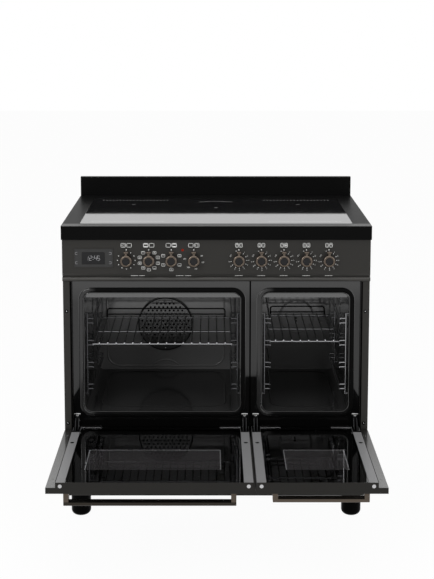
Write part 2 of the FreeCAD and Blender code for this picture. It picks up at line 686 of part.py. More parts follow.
def make_fan_impeller():
    y1 = Y_CAVITY_BACK - FAN_IMPELLER_GAP
    y0 = y1 - FAN_IMPELLER_DEPTH
    t = FAN_BLADE_SHEET
    disc = rod((FAN_X, y1 - t, FAN_Z), (FAN_X, y1, FAN_Z), FAN_IMPELLER_RADIUS)
    hub = rod((FAN_X, y0, FAN_Z), (FAN_X, y1, FAN_Z), FAN_HUB)
    shaft = rod((FAN_X, y1 - t, FAN_Z), (FAN_X, Y_CAVITY_BACK + CAVITY_WALL + FAN_SHAFT_REACH, FAN_Z), FAN_SHAFT)
    parts = [hub, shaft]
    blade = box(FAN_X + FAN_BLADE_START, FAN_X + FAN_IMPELLER_RADIUS - FAN_BLADE_RIM, y0, y1 - t / 2,
                FAN_Z - t / 2, FAN_Z + t / 2)
    for i in range(FAN_BLADES):
        turned = blade.copy()
        turned.rotate(Vector(FAN_X, 0, FAN_Z), Vector(0, 1, 0), 360.0 * i / FAN_BLADES)
        parts.append(turned)
    return disc.multiFuse(parts).removeSplitter()


def make_fan_motor():
    y0 = Y_CAVITY_BACK + CAVITY_WALL
    flange = rod((FAN_X, y0, FAN_Z), (FAN_X, y0 + MOTOR_FLANGE, FAN_Z), MOTOR_RADIUS)
    body = rod((FAN_X, y0, FAN_Z), (FAN_X, y0 + MOTOR_LENGTH, FAN_Z), MOTOR_RADIUS - MOTOR_SHOULDER)
    deep = FAN_SHAFT_REACH + MOTOR_BORE_SPARE
    bore = rod((FAN_X, y0 - 1, FAN_Z), (FAN_X, y0 + deep, FAN_Z), FAN_SHAFT + HINGE_RUNNING_FIT)
    return flange.fuse(body).cut(bore)


def make_ring_heater():
    y = Y_CAVITY_BACK - FAN_COVER_DEPTH / 2
    ring = Part.makeTorus(RING_RADIUS, RING_TUBE, Vector(FAN_X, y, FAN_Z), Vector(0, 1, 0))
    g = RING_GAP
    gap = box(FAN_X - g, FAN_X + g, y - g, y + g, FAN_Z - RING_RADIUS - g, FAN_Z - RING_RADIUS + g)
    ring = ring.cut(gap)
    tails = []
    z = FAN_Z - (RING_RADIUS ** 2 - g ** 2) ** 0.5
    for dx in (-g, g):
        tails.append(rod((FAN_X + dx, y - RING_TUBE, z), (FAN_X + dx, Y_CAVITY_BACK, z), RING_TUBE))
    return ring.multiFuse(tails)


# ---------------------------------------------------------------- racks and shelves
def rack_rows():
    """Heights of the wire pairs, lowest first."""
    first = OPENING_BOTTOM + RACK_FIRST
    return [first + i * RACK_PITCH for i in range(RACK_LEVELS)]


def shelf_row():
    """Height of the wire pair that carries the shelf."""
    row = OPENING_BOTTOM + RACK_FIRST
    for _ in range(ROWS_BELOW_SHELF):
        row += RACK_PITCH
    return row


def rack_row_offset():
    """How far the level wires stand off the cavity wall."""
    return RACK_STANDOFF + RACK_REACH


def side_rack(wall_x, inward):
    """One wire rack beside a cavity wall, wire by wire. inward is +1 or -1."""
    x = wall_x + inward * RACK_STANDOFF
    r = RACK_WIRE
    y0, y1 = Y_RACK, Y_RACK + RACK_LENGTH
    row_x = wall_x + inward * rack_row_offset()
    rows = rack_rows()
    low, high = rows[0] - RACK_TAIL, rows[-1] + RACK_PAIR + RACK_TAIL
    parts = []
    for y in (y0, y1):
        parts.append(rod((x, y, low), (x, y, high), r))
        for z in (low + r, high - r):
            parts.append(rod((wall_x, y, z), (x - inward * (r + RACK_AIR), y, z), RACK_PEG))
    stub_near = x + inward * (r + RACK_AIR)
    stub_far = row_x - inward * (RACK_ROW_WIRE + RACK_AIR)
    for row in rows:
        for z in (row, row + RACK_PAIR):
            parts.append(rod((row_x, y0 - r, z), (row_x, y1 + r, z), RACK_ROW_WIRE))
            for y in (y0, y1):
                parts.append(rod((stub_near, y, z), (stub_far, y, z), RACK_ROW_WIRE))
    return parts


def make_side_racks():
    racks = []
    for oven in OVENS.values():
        x0, x1 = oven["opening"]
        racks += side_rack(x0, 1) + side_rack(x1, -1)
    return group(racks)


def make_shelf(oven):
    """A wire shelf whose side wires ride on one row of the racks."""
    x0, x1 = OVENS[oven]["opening"]
    rf, rc, rw = SHELF_FRAME_WIRE, SHELF_CROSS_WIRE, SHELF_WIRE
    side = rack_row_offset() + SHELF_OVERHANG
    left, right = x0 + side, x1 - side
    across = SHELF_OVERHANG
    reach = RACK_ROW_WIRE + rf + SHELF_SEAT_GAP
    z = shelf_row() + (reach ** 2 - across ** 2) ** 0.5
    y0 = Y_PLATE + SHELF_FRONT_FROM_PLATE + OVENS[oven]["shelf_pushed"]
    y1 = y0 + SHELF_DEPTH
    parts = [rod((x, y0, z), (x, y1, z), rf) for x in (left, right)]
    for y in (y0, y0 + SHELF_SPACING, y1 - SHELF_REAR_TAIL):
        parts.append(rod((left, y, z), (right, y, z), rc))
    count = OVENS[oven]["shelf_wires"]
    first = (left + right - SHELF_PITCH * (count - 1)) / 2
    top = z + rc + rw - SHELF_WELD
    for i in range(count):
        x = first + i * SHELF_PITCH
        parts.append(rod((x, y0 - SHELF_NOSE, top), (x, y1, top), rw))
    g0, g1 = left + GUARD_INSET, right - GUARD_INSET
    rise = Vector(0, SHELF_REAR_TAIL + GUARD_LEAN, GUARD_HEIGHT)
    foot = rise.normalize() * (rc + GUARD_AIR)
    y_rod = y1 - SHELF_REAR_TAIL
    y_foot, z_foot = y_rod + foot.y, z + foot.z
    y_head, z_head = y1 + GUARD_LEAN, z + GUARD_HEIGHT
    guard = bent_wire([(g0, y_foot, z_foot), (g0, y_head, z_head), (g1, y_head, z_head), (g1, y_foot, z_foot)],
                      GUARD_CORNER, SHELF_GUARD_WIRE)
    y_low, z_low = y_foot + (y_head - y_foot) * GUARD_LOW_BAR, z_foot + (z_head - z_foot) * GUARD_LOW_BAR
    inset = SHELF_GUARD_WIRE + GUARD_AIR
    low_bar = rod((g0 + inset, y_low, z_low), (g1 - inset, y_low, z_low), GUARD_LOW_WIRE)
    return group([parts[0].multiFuse(parts[1:]), guard, low_bar])


# ---------------------------------------------------------------- doors and hinges
def hinge_slot(hx, y0, y1):
    """Room for one hinge arm through the sheets behind it."""
    half = HINGE_ARM_WIDTH / 2 + HINGE_SLOT_CLEAR
    return box(hx - half, hx + half, y0, y1,
               Z_PIVOT + HINGE_ROOT - HINGE_SLOT_CLEAR, Z_PIVOT + HINGE_RISE + HINGE_SLOT_CLEAR)


def all_hinges():
    return LEFT["hinges"] + RIGHT["hinges"]


def make_hinge_arms():
    """Two-cheek arms, hooked behind the front plates, each with an eye on its hinge pin."""
    arms = []
    back = Y_PLATE_BACK + CAVITY_WALL + HINGE_HOOK_GAP
    for hx in all_hinges():
        x0, x1 = hx - HINGE_ARM_WIDTH / 2, hx + HINGE_ARM_WIDTH / 2
        eye = rod((x0, Y_PIVOT, Z_PIVOT), (x1, Y_PIVOT, Z_PIVOT), HINGE_EYE)
        k = HINGE_EYE * 0.7
        outline = [
            (Y_PIVOT - k, Z_PIVOT + k), (Y_PLATE - HINGE_NOSE, Z_PIVOT + HINGE_RISE),
            (back + HINGE_HOOK, Z_PIVOT + HINGE_RISE), (back + HINGE_HOOK, Z_PIVOT + HINGE_ROOT - HINGE_HOOK),
            (back, Z_PIVOT + HINGE_ROOT - HINGE_HOOK), (back, Z_PIVOT + HINGE_ROOT),
            (Y_PLATE, Z_PIVOT + HINGE_ROOT), (Y_PIVOT + k, Z_PIVOT - k),
        ]
        arm = eye.fuse(prism_x(outline, x0, x1))
        channel = box(x0 + HINGE_CHEEK, x1 - HINGE_CHEEK, Y_PIVOT - 2 * HINGE_EYE, Y_PLATE - HINGE_CHANNEL_END,
                      Z_PIVOT - 2 * HINGE_EYE, Z_PIVOT + 2 * HINGE_RISE)
        hole = rod((x0 - 1, Y_PIVOT, Z_PIVOT), (x1 + 1, Y_PIVOT, Z_PIVOT), HINGE_PIN_RADIUS + HINGE_RUNNING_FIT)
        arms.append(arm.cut(channel).cut(hole))
    return group(arms)


def make_hinge_receivers():
    """T shaped catches on the front plates, above each hinge arm."""
    catches = []
    y0 = Y_PLATE - RECEIVER_THICK
    for hx in all_hinges():
        z = Z_PIVOT + HINGE_RISE + HINGE_SLOT_CLEAR
        head = box(hx - RECEIVER_WIDTH / 2, hx + RECEIVER_WIDTH / 2, y0, Y_PLATE,
                   z + RECEIVER_STEM, z + RECEIVER_STEM + RECEIVER_HEAD)
        stem = box(hx - HINGE_ARM_WIDTH / 2, hx + HINGE_ARM_WIDTH / 2, y0, Y_PLATE, z, z + RECEIVER_STEM)
        catches.append(head.fuse(stem).removeSplitter())
    return group(catches)


def door_inner_span(door):
    """X limits of the thick inner part of a door."""
    x0, x1 = door["door"]
    if door["outer_is_left"]:
        return x0 + DOOR_INSET_OUTER, x1 - DOOR_INSET_MIDDLE
    return x0 + DOOR_INSET_MIDDLE, x1 - DOOR_INSET_OUTER


def arm_room(hx):
    """Space swept by a hinge arm inside the door."""
    half = HINGE_ARM_WIDTH / 2 + HINGE_SIDE_ROOM
    return box(hx - half, hx + half, Y_PIVOT - RAIL_CUTBACK, Y_DOOR_REAR + 1, Z_DOOR + DOOR_SKIN, Z_DOOR_IN + 1)


def rail_room(x0):
    """Pocket in the hinge edge of a door for the end of one rail."""
    y1 = Y_PIVOT + HINGE_PIN_RADIUS + EAR_MARGIN + RAIL_AIR
    return box(x0 - RAIL_AIR, x0 + RAIL_WIDTH + RAIL_AIR, Y_PIVOT - 1, y1, Z_DOOR + DOOR_SKIN, Z_DOOR_IN + 1)


def make_door_panel(door):
    """Outer panel of a door: skin, side walls, return flanges, end face and hinge edge."""
    x0, x1 = door["door"]
    i0, i1 = door_inner_span(door)
    s = DOOR_SKIN
    block = box(x0, x1, Y_DOOR_FRONT, Y_DOOR_REAR, Z_DOOR, Z_DOOR_FLANGE)
    room = box(x0 + s, x1 - s, Y_DOOR_FRONT + s, Y_PIVOT, Z_DOOR + s, Z_DOOR_FLANGE - s)
    mouth = box(i0, i1, Y_DOOR_FRONT + s, Y_PIVOT, Z_DOOR + s, Z_DOOR_FLANGE + 1)
    panel = block.cut(room).cut(mouth)
    corner = box(x0 - 1, x1 + 1, Y_PIVOT, Y_DOOR_REAR + 1, Z_PIVOT, Z_DOOR_FLANGE + 1)
    round_edge = rod((x0 - 2, Y_PIVOT, Z_PIVOT), (x1 + 2, Y_PIVOT, Z_PIVOT), HINGE_RADIUS)
    panel = panel.cut(corner.cut(round_edge))
    end_face = box(i0, i1, Y_DOOR_FRONT, Y_DOOR_FRONT + s, Z_DOOR_FLANGE - s, Z_DOOR_IN)
    panel = panel.fuse(end_face)
    for middle in (i0 + RAIL_WIDTH / 2, i1 - RAIL_WIDTH / 2):
        panel = panel.cut(screw_head(door, middle, SCREW_AIR))
    w0, w1 = door["window"]
    near = Y_DOOR_REAR - HINGE_RADIUS - WINDOW_FAR
    window = slab_z(w0, w1, near - WINDOW_DEPTH, near, WINDOW_CORNER, Z_DOOR - 1, Z_DOOR + s + 1)
    panel = panel.cut(window)
    for hx in door["hinges"]:
        panel = panel.cut(arm_room(hx))
    for x in (i0, i1 - RAIL_WIDTH):
        panel = panel.cut(rail_room(x))
    return panel.removeSplitter()


def make_door_window(door):
    w0, w1 = door["window"]
    near = Y_DOOR_REAR - HINGE_RADIUS - WINDOW_FAR
    lap = WINDOW_LAP
    z = Z_DOOR + DOOR_SKIN
    return slab_z(w0 - lap, w1 + lap, near - WINDOW_DEPTH - lap, near + lap, WINDOW_CORNER + WINDOW_LAP_ROUND,
                  z, z + WINDOW_GLASS)


def make_door_rails(door):
    """Two hollow side rails, open over the hinge arms and holed for the hinge pins."""
    i0, i1 = door_inner_span(door)
    rails = []
    z0, z1 = Z_DOOR + DOOR_SKIN, Z_DOOR_IN
    y0, y1 = Y_DOOR_FRONT + DOOR_SKIN, Y_PIVOT - RAIL_END_GAP
    w = RAIL_WALL
    for x0 in (i0, i1 - RAIL_WIDTH):
        x1 = x0 + RAIL_WIDTH
        hx = min(door["hinges"], key=lambda h: abs(h - (x0 + x1) / 2))
        tube = box(x0, x1, y0, y1, z0, z1).cut(box(x0 + w, x1 - w, y0 + w, y1 + 1, z0 + w, z1 - w))
        ear_y = Y_PIVOT + HINGE_PIN_RADIUS + EAR_MARGIN
        ears = [box(x, x + w, y1 - EAR_LENGTH, ear_y, z0, Z_PIVOT + HINGE_RADIUS) for x in (x0, x1 - w)]
        ears = [e.cut(box(x0 - 1, x1 + 1, Y_PIVOT, ear_y + 1, Z_PIVOT + HINGE_EYE, z1)) for e in ears]
        inner = x1 if x0 == i0 else x0
        shelf_x = inner if x0 == i0 else inner - GLASS_LEDGE
        z_ledge = Z_DOOR_IN - INNER_GLASS_SINK - INNER_GLASS
        ledge = box(shelf_x, shelf_x + GLASS_LEDGE, y0, y1 - RAIL_CUTBACK, z_ledge - w, z_ledge)
        rail = tube.multiFuse(ears + [ledge])
        rail = rail.cut(screw_shank(door, (x0 + x1) / 2, SCREW_AIR))
        rail = rail.cut(arm_room(hx))
        pin = rod((x0 - 1, Y_PIVOT, Z_PIVOT), (x1 + 1, Y_PIVOT, Z_PIVOT), HINGE_PIN_RADIUS + HINGE_PIN_FIT)
        rails.append(rail.cut(pin))
    return group(rails)


def glass_span(door):
    i0, i1 = door_inner_span(door)
    return i0 + RAIL_WIDTH + GLASS_CLEAR, i1 - RAIL_WIDTH - GLASS_CLEAR


def make_inner_glass(door):
    g0, g1 = glass_span(door)
    top = Z_DOOR_IN - INNER_GLASS_SINK
    return box(g0, g1, Y_DOOR_FRONT + DOOR_SKIN + GLASS_CLEAR, Y_PIVOT - GLASS_HINGE_GAP,
               top - INNER_GLASS, top)


def make_door_handle(door):
    """Flat bar on two posts, under the door while it is open."""
    h0, h1 = door["handle"]
    low = Z_DOOR - door["handle_standoff"]
    y0 = Y_DOOR_FRONT + HANDLE_FROM_EDGE
    y1 = y0 + HANDLE_BAR_DEPTH
    bar = box(h0, h1, y0, y1, low, low + HANDLE_BAR_THICK)
    posts = [box(x, x + HANDLE_POST, y0, y1, low, Z_DOOR) for x in (h0, h1 - HANDLE_POST)]
    handle = bar.multiFuse(posts).removeSplitter()
    long_edges = [e for e in handle.Edges if e.BoundBox.ZMax < low + 0.1]
    return handle.makeChamfer(HANDLE_ROUND, long_edges)


def screw_shank(door, x, air):
    z = Z_DOOR_IN - END_SCREW_BELOW
    y = Y_DOOR_FRONT + END_SCREW_LENGTH
    return rod((x, Y_DOOR_FRONT, z), (x, y, z), END_SCREW_SHANK + air)


def screw_head(door, x, air):
    z = Z_DOOR_IN - END_SCREW_BELOW
    return rod((x, Y_DOOR_FRONT, z), (x, Y_DOOR_FRONT + DOOR_SKIN, z), END_SCREW_HEAD + air)


def make_door_fittings(door):
    """Hinge pins, flush end screws and glass retainers."""
    i0, i1 = door_inner_span(door)
    g0, g1 = glass_span(door)
    parts = []
    for x0 in (i0, i1 - RAIL_WIDTH):
        parts.append(rod((x0, Y_PIVOT, Z_PIVOT), (x0 + RAIL_WIDTH, Y_PIVOT, Z_PIVOT), HINGE_PIN_RADIUS))
        middle = x0 + RAIL_WIDTH / 2
        parts.append(screw_head(door, middle, 0).fuse(screw_shank(door, middle, 0)))
    y_edge = Y_PIVOT - GLASS_HINGE_GAP
    top = Z_DOOR_IN - INNER_GLASS_SINK
    t = RETAINER_SHEET
    for x in (g0, g1 - RETAINER_LENGTH):
        tab = box(x, x + RETAINER_LENGTH, y_edge - RETAINER_DEPTH, y_edge + t, top, top + t)
        leg = box(x, x + RETAINER_LENGTH, y_edge, y_edge + t, Z_DOOR + DOOR_SKIN, top + t)
        parts.append(tab.fuse(leg).removeSplitter())
    return group(parts)


# ---------------------------------------------------------------- control panel
def make_control_panel():
    half = PANEL_WIDTH / 2
    z0, z1 = Z_PANEL, Z_BAND
    block = box(-half, half, Y_PANEL, Y_PLATE, z0, z1)
    room = box(-half + PANEL_SHEET, half - PANEL_SHEET, Y_PANEL + PANEL_SHEET, Y_PLATE + 1,
               z0 + PANEL_SHEET, z1 - PANEL_SHEET)
    panel = block.cut(room)
    for x in KNOB_X:
        panel = panel.cut(rod((x, Y_PANEL - 1, Z_KNOB), (x, Y_PANEL + PANEL_SHEET + 1, Z_KNOB), SPINDLE_HOLE))
    z = Z_TOP - DISPLAY_DROP
    w, h = DISPLAY_SCREEN_WIDTH / 2, DISPLAY_SCREEN_HEIGHT / 2
    panel = panel.cut(box(DISPLAY_X - w, DISPLAY_X + w, Y_PANEL - 1, Y_PANEL + PANEL_SHEET + 1, z - h, z + h))
    z = Z_TOP - LAMP_DROP
    return panel.cut(rod((LAMP_X, Y_PANEL - 1, z), (LAMP_X, Y_PANEL + PANEL_SHEET + 1, z), LAMP_RADIUS))


def make_moulding():
    half = PANEL_WIDTH / 2
    back = Y_PLATE
    y_cove, z_cove = Y_PANEL + MOULDING_COVE_DEPTH, Z_PANEL - MOULDING_COVE
    bead_y = Y_PANEL - MOULDING_PROUD + MOULDING_BEAD
    bead_z = Z_MOULDING + MOULDING_BEAD
    cove = prism_x([(Y_PANEL, Z_PANEL), (y_cove, z_cove), (y_cove, Z_MOULDING), (back, Z_MOULDING), (back, Z_PANEL)], -half, half)
    bead = rod((-half, bead_y, bead_z), (half, bead_y, bead_z), MOULDING_BEAD)
    return cove.fuse(bead).removeSplitter()


def make_knob(x):
    """Round knob with a T pointer above it, sunk cap seat and a spindle."""
    y_back = Y_PANEL - KNOB_AIR
    y_front = y_back - KNOB_HEIGHT
    body = rod((x, y_front, Z_KNOB), (x, y_back, Z_KNOB), KNOB_RADIUS)
    rim = [e for e in body.Edges if e.BoundBox.YMax < y_front + 0.1]
    body = body.makeFillet(KNOB_RIM_ROUND, rim)
    body = body.cut(rod((x, y_front - 1, Z_KNOB), (x, y_front + KNOB_CAP_SINK, Z_KNOB), KNOB_CAP_RADIUS))
    y_arm = y_front + KNOB_ARM_SETBACK
    half = KNOB_STEM_WIDTH / 2
    stem = box(x - half, x + half, y_arm, y_arm + KNOB_ARM_THICK, Z_KNOB + KNOB_CAP_RADIUS + KNOB_STEM_START,
               Z_KNOB + KNOB_STEM_REACH)
    half = KNOB_BAR_WIDTH / 2
    z = Z_KNOB + KNOB_STEM_REACH - KNOB_BAR_LAP
    bar = slab_y(x - half, x + half, z, z + KNOB_BAR_TALL, 0.43 * KNOB_BAR_TALL, y_arm, y_arm + KNOB_ARM_THICK)
    spindle = rod((x, y_back - 1, Z_KNOB), (x, Y_PANEL + PANEL_SHEET + SPINDLE_LENGTH, Z_KNOB), SPINDLE_RADIUS)
    return body.multiFuse([stem, bar, spindle])


def make_switches():
    switches = []
    y0 = Y_PANEL + PANEL_SHEET
    half = SWITCH_SIDE / 2
    for x in KNOB_X:
        body = box(x - half, x + half, y0, y0 + SWITCH_DEPTH, Z_KNOB - half, Z_KNOB + half)
        bore = rod((x, y0 - 1, Z_KNOB), (x, y0 + SPINDLE_LENGTH + 1, Z_KNOB), SPINDLE_RADIUS + SPINDLE_RUNNING_FIT)
        switches.append(body.cut(bore))
    return group(switches)


def make_display_window():
    z = Z_TOP - DISPLAY_DROP
    w, h = DISPLAY_WIDTH / 2, DISPLAY_HEIGHT / 2
    return slab_y(DISPLAY_X - w, DISPLAY_X + w, z - h, z + h, DISPLAY_CORNER, Y_PANEL - DISPLAY_PROUD, Y_PANEL)


def make_timer_module():
    z = Z_TOP - DISPLAY_DROP
    w, h = DISPLAY_SCREEN_WIDTH / 2 - DISPLAY_AIR, DISPLAY_SCREEN_HEIGHT / 2 - DISPLAY_AIR
    back = Y_PANEL + PANEL_SHEET
    screen = box(DISPLAY_X - w, DISPLAY_X + w, Y_PANEL, back + DISPLAY_SCREEN_RISE, z - h, z + h)
    w, h = w + DISPLAY_LIP, h + DISPLAY_LIP
    body = box(DISPLAY_X - w, DISPLAY_X + w, back, back + DISPLAY_BODY, z - h, z + h)
    return screen.fuse(body).removeSplitter()


def make_pilot_lamp():
    z = Z_TOP - LAMP_DROP
    back = Y_PANEL + PANEL_SHEET
    body = rod((LAMP_X, Y_PANEL - LAMP_PROUD, z), (LAMP_X, Y_PANEL + LAMP_LENGTH, z), LAMP_RADIUS - LAMP_AIR)
    nut = rod((LAMP_X, back, z), (LAMP_X, back + LAMP_NUT, z), LAMP_RADIUS + LAMP_NUT_RIM)
    return body.fuse(nut)


# ---------------------------------------------------------------- worktop and hob
def make_worktop():
    half = WORKTOP_WIDTH / 2
    top = slab_z(-half, half, Y_FRONT, Y_BACK, WORKTOP_ROUND, Z_BAND, Z_TOP)
    s = WORKTOP_SKIRT
    room = box(-half + s, half - s, Y_FRONT + s, Y_BACK - s, Z_BAND - 1, Z_TOP - WORKTOP_SHEET)
    hole_half = HOB_WIDTH / 2 + HOB_GAP
    hole = slab_z(-hole_half, hole_half, HOB_Y0 - HOB_GAP, HOB_Y1 + HOB_GAP, HOB_CORNER + HOB_GAP,
                  Z_TOP - WORKTOP_SHEET - 1, Z_TOP + 1)
    seat = box(-BODY_HALF, -BODY_HALF + SEAT_WIDTH, Y_PLATE, Y_BODY_BACK, Z_BAND, Z_TOP - WORKTOP_SHEET + 1)
    other = box(BODY_HALF - SEAT_WIDTH, BODY_HALF, Y_PLATE, Y_BODY_BACK, Z_BAND, Z_TOP - WORKTOP_SHEET + 1)
    return top.cut(room).cut(hole).fuse(seat).fuse(other).removeSplitter()


def make_upstand():
    half = WORKTOP_WIDTH / 2
    bar = box(-half, half, Y_BACK - UPSTAND_DEPTH, Y_BACK, Z_TOP, Z_TOP + UPSTAND_HEIGHT)
    edges = [e for e in bar.Edges if e.BoundBox.ZMin > Z_TOP + UPSTAND_HEIGHT - 0.1 and e.Length > half]
    return bar.makeFillet(UPSTAND_ROUND, edges)


def make_hob_glass():
    half = HOB_WIDTH / 2
    return slab_z(-half, half, HOB_Y0, HOB_Y1, HOB_CORNER, Z_TOP - HOB_GLASS, Z_TOP)


def make_hob_tray():
    f = TRAY_FLANGE
    half = HOB_WIDTH / 2
    z1 = Z_TOP - HOB_GLASS
    s = TRAY_SHEET
    flange = box(-half - f, half + f, HOB_Y0 - f, HOB_Y1 + f, z1 - s, z1)
    outer = box(-half + f, half - f, HOB_Y0 + f, HOB_Y1 - f, z1 - TRAY_HEIGHT, z1)
    inner = box(-half + f + s, half - f - s, HOB_Y0 + f + s, HOB_Y1 - f - s, z1 - TRAY_HEIGHT + s, z1 + 1)
    return flange.fuse(outer).cut(inner).removeSplitter()


def make_coils():
    """Induction coils, each with the post that presses it to the glass."""
    coils = []
    z1 = Z_TOP - HOB_GLASS - COIL_AIR
    floor = Z_TOP - HOB_GLASS - TRAY_HEIGHT + TRAY_SHEET
    places = [(0.0, COIL_MIDDLE_Y, COIL_MIDDLE_RADIUS)]
    for x in (-COIL_X, COIL_X):
        places += [(x, COIL_REAR_Y, COIL_REAR_RADIUS), (x, COIL_FRONT_Y, COIL_FRONT_RADIUS)]
    for x, y, radius in places:
        disc = rod((x, y, z1 - COIL_HEIGHT), (x, y, z1), radius)
        post = rod((x, y, floor), (x, y, z1 - COIL_HEIGHT + 1), COIL_STAND)
        coils.append(disc.fuse(post).cut(rod((x, y, floor - 1), (x, y, z1 + 1), COIL_BORE)))
    return group(coils)


def make_power_board():
    floor = Z_TOP - HOB_GLASS - TRAY_HEIGHT + TRAY_SHEET
    y0 = HOB_Y0 + BOARD_FROM_FRONT
    return box(-BOARD_WIDTH / 2, BOARD_WIDTH / 2, y0, y0 + BOARD_DEPTH, floor, floor + BOARD_HEIGHT)


# ---------------------------------------------------------------- services
def make_cooling_fan():
    """Blower housing that draws air out between the ovens and the control panel."""
    y0 = Y_FRONT + BLOWER_SETBACK
    z0 = OPENING_TOP + CAVITY_WALL + INSULATION
    half = BLOWER_WIDTH / 2
    w = BLOWER_WALL
    shell = box(-half, half, y0, y0 + BLOWER_DEPTH, z0, z0 + BLOWER_HEIGHT)
    room = box(-half + w, half - w, y0 - 1, y0 + BLOWER_DEPTH - w, z0 + w, z0 + BLOWER_HEIGHT - w)
    shell = shell.cut(room)
    y, z = rotor_place()
    hole = rod((-half - 1, y, z), (half + 1, y, z), FAN_SHAFT + HINGE_RUNNING_FIT)
    return shell.cut(hole)


def rotor_place():
    y = Y_FRONT + BLOWER_SETBACK + BLOWER_DEPTH / 2
    z = OPENING_TOP + CAVITY_WALL + INSULATION + BLOWER_HEIGHT / 2
    return y, z


def make_cooling_rotor():
    y, z = rotor_place()
    half = BLOWER_WIDTH / 2 - BLOWER_WALL - BLOWER_ROTOR_AIR
    shaft = rod((-BLOWER_WIDTH / 2, y, z), (BLOWER_WIDTH / 2, y, z), FAN_SHAFT)
    d, t = ROTOR_DISC, ROTOR_VANE_SHEET
    discs = [rod((x, y, z), (x + d, y, z), BLOWER_ROTOR) for x in (-half, -d / 2, half - d)]
    rim = y + BLOWER_ROTOR - ROTOR_RIM
    blades = []
    for i in range(ROTOR_VANES):
        blade = box(-half, half, rim - ROTOR_VANE_DEPTH, rim, z - t / 2, z + t / 2)
        blade.rotate(Vector(0, y, z), Vector(1, 0, 0), 360.0 * i / ROTOR_VANES)
        blades.append(blade)
    return shaft.multiFuse(discs + blades)


def make_oven_lamps():
    """Lamp lenses on the back walls, with their holders behind."""
    lamps = []
    places = [(oven["opening"][1] - LAMP_INSET, OPENING_TOP - LAMP_INSET) for oven in OVENS.values()]
    for x, z in places:
        lens = rod((x, Y_CAVITY_BACK - LENS_DEPTH, z), (x, Y_CAVITY_BACK, z), LENS_RADIUS)
        edge = [e for e in lens.Edges if e.BoundBox.YMax < Y_CAVITY_BACK - LENS_DEPTH + 0.1]
        lamps.append(lens.makeFillet(LENS_ROUND, edge))
    return group(lamps)


def make_terminal_box():
    w, h, t = TERMINAL_WIDTH / 2, TERMINAL_HEIGHT / 2, TERMINAL_WALL
    y1 = Y_BODY_BACK - SHEET
    y0 = y1 - TERMINAL_DEPTH
    x, z = TERMINAL_X, TERMINAL_Z
    block = box(x - w, x + w, y0, y1, z - h, z + h)
    room = box(x - w + t, x + w - t, y0 + t, y1 - t, z - h + t, z + h - t)
    bore = rod((x, y1 - t - 1, z), (x, y1 + 1, z), GLAND_RADIUS - GLAND_SHOULDER)
    return block.cut(room).cut(bore)


def make_cable_gland():
    y0 = Y_BODY_BACK
    inside = y0 - SHEET - TERMINAL_WALL
    x, z = TERMINAL_X, TERMINAL_Z
    body = rod((x, y0, z), (x, y0 + GLAND_STAND, z), GLAND_RADIUS)
    neck = rod((x, inside, z), (x, y0 + GLAND_STAND / 2, z), GLAND_RADIUS - GLAND_SHOULDER - GLAND_AIR)
    bore = rod((x, inside - 1, z), (x, y0 + GLAND_STAND + 1, z), GLAND_BORE)
    return body.fuse(neck).cut(bore)


# ---------------------------------------------------------------- build
export("base_pan", make_base_pan())
export("side_panels", make_side_panels())
export("back_panel", make_back_panel())
export("front_stiles", make_front_stiles())
export("plinth_beam", make_plinth_beam())
export("kick_panel", make_kick_panel())
export("feet", make_feet())
export("worktop", make_worktop())
export("rear_upstand", make_upstand())
export("hob_glass", make_hob_glass())
export("hob_tray", make_hob_tray())
export("induction_coils", make_coils())
export("power_board", make_power_board())
export("control_panel", make_control_panel())
export("trim_moulding", make_moulding())
export("display_window", make_display_window())
export("timer_module", make_timer_module())
export("pilot_lamp", make_pilot_lamp())
export("control_switches", make_switches())
export("insulation_wraps", make_insulation())
export("heating_elements", make_heating_elements())
export("fan_cover", make_fan_cover())
export("fan_impeller", make_fan_impeller())
export("fan_motor", make_fan_motor())
export("ring_heater", make_ring_heater())
export("side_racks", make_side_racks())
export("oven_lamps", make_oven_lamps())
export("cooling_fan", make_cooling_fan())
export("cooling_rotor", make_cooling_rotor())
export("terminal_box", make_terminal_box())
export("cable_gland", make_cable_gland())
export("hinge_receivers", make_hinge_receivers())
export("hinge_arms", make_hinge_arms())
for number, knob_x in enumerate(KNOB_X, 1):
    export("knob_" + str(number), make_knob(knob_x))
export("oven_front_plates", group([front_plate(side) for side in OVENS]))
export("door_seals", group([make_seal(side) for side in OVENS]))
for side_name, side_oven in OVENS.items():
    export("oven_cavity_" + side_name, make_cavity(side_name))
    export("shelf_" + side_name, make_shelf(side_name))
    export("door_panel_" + side_name, make_door_panel(side_oven))
    export("door_window_" + side_name, make_door_window(side_oven))
    export("door_rails_" + side_name, make_door_rails(side_oven))
    export("door_inner_glass_" + side_name, make_inner_glass(side_oven))
    export("door_handle_" + side_name, make_door_handle(side_oven))
    export("door_fittings_" + side_name, make_door_fittings(side_oven))
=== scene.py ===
# %% [markdown]
# # A range cooker with two ovens, dressed for its picture
#
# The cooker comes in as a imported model: every sheet, wire, knob and hinge is already a solid in its
# place. This lesson gives each of them a finish and adds what a drawing in sheet metal leaves out,
# such as printed dials, pressed beads in the oven walls, screws and the clock. Lengths are in metres,
# X points right, Y to the back and Z up, and the doors hang open as in the photograph.

# %% Load the cooker
import bpy
import bmesh
from math import sin, cos, pi, radians
from mathutils import Vector, Matrix


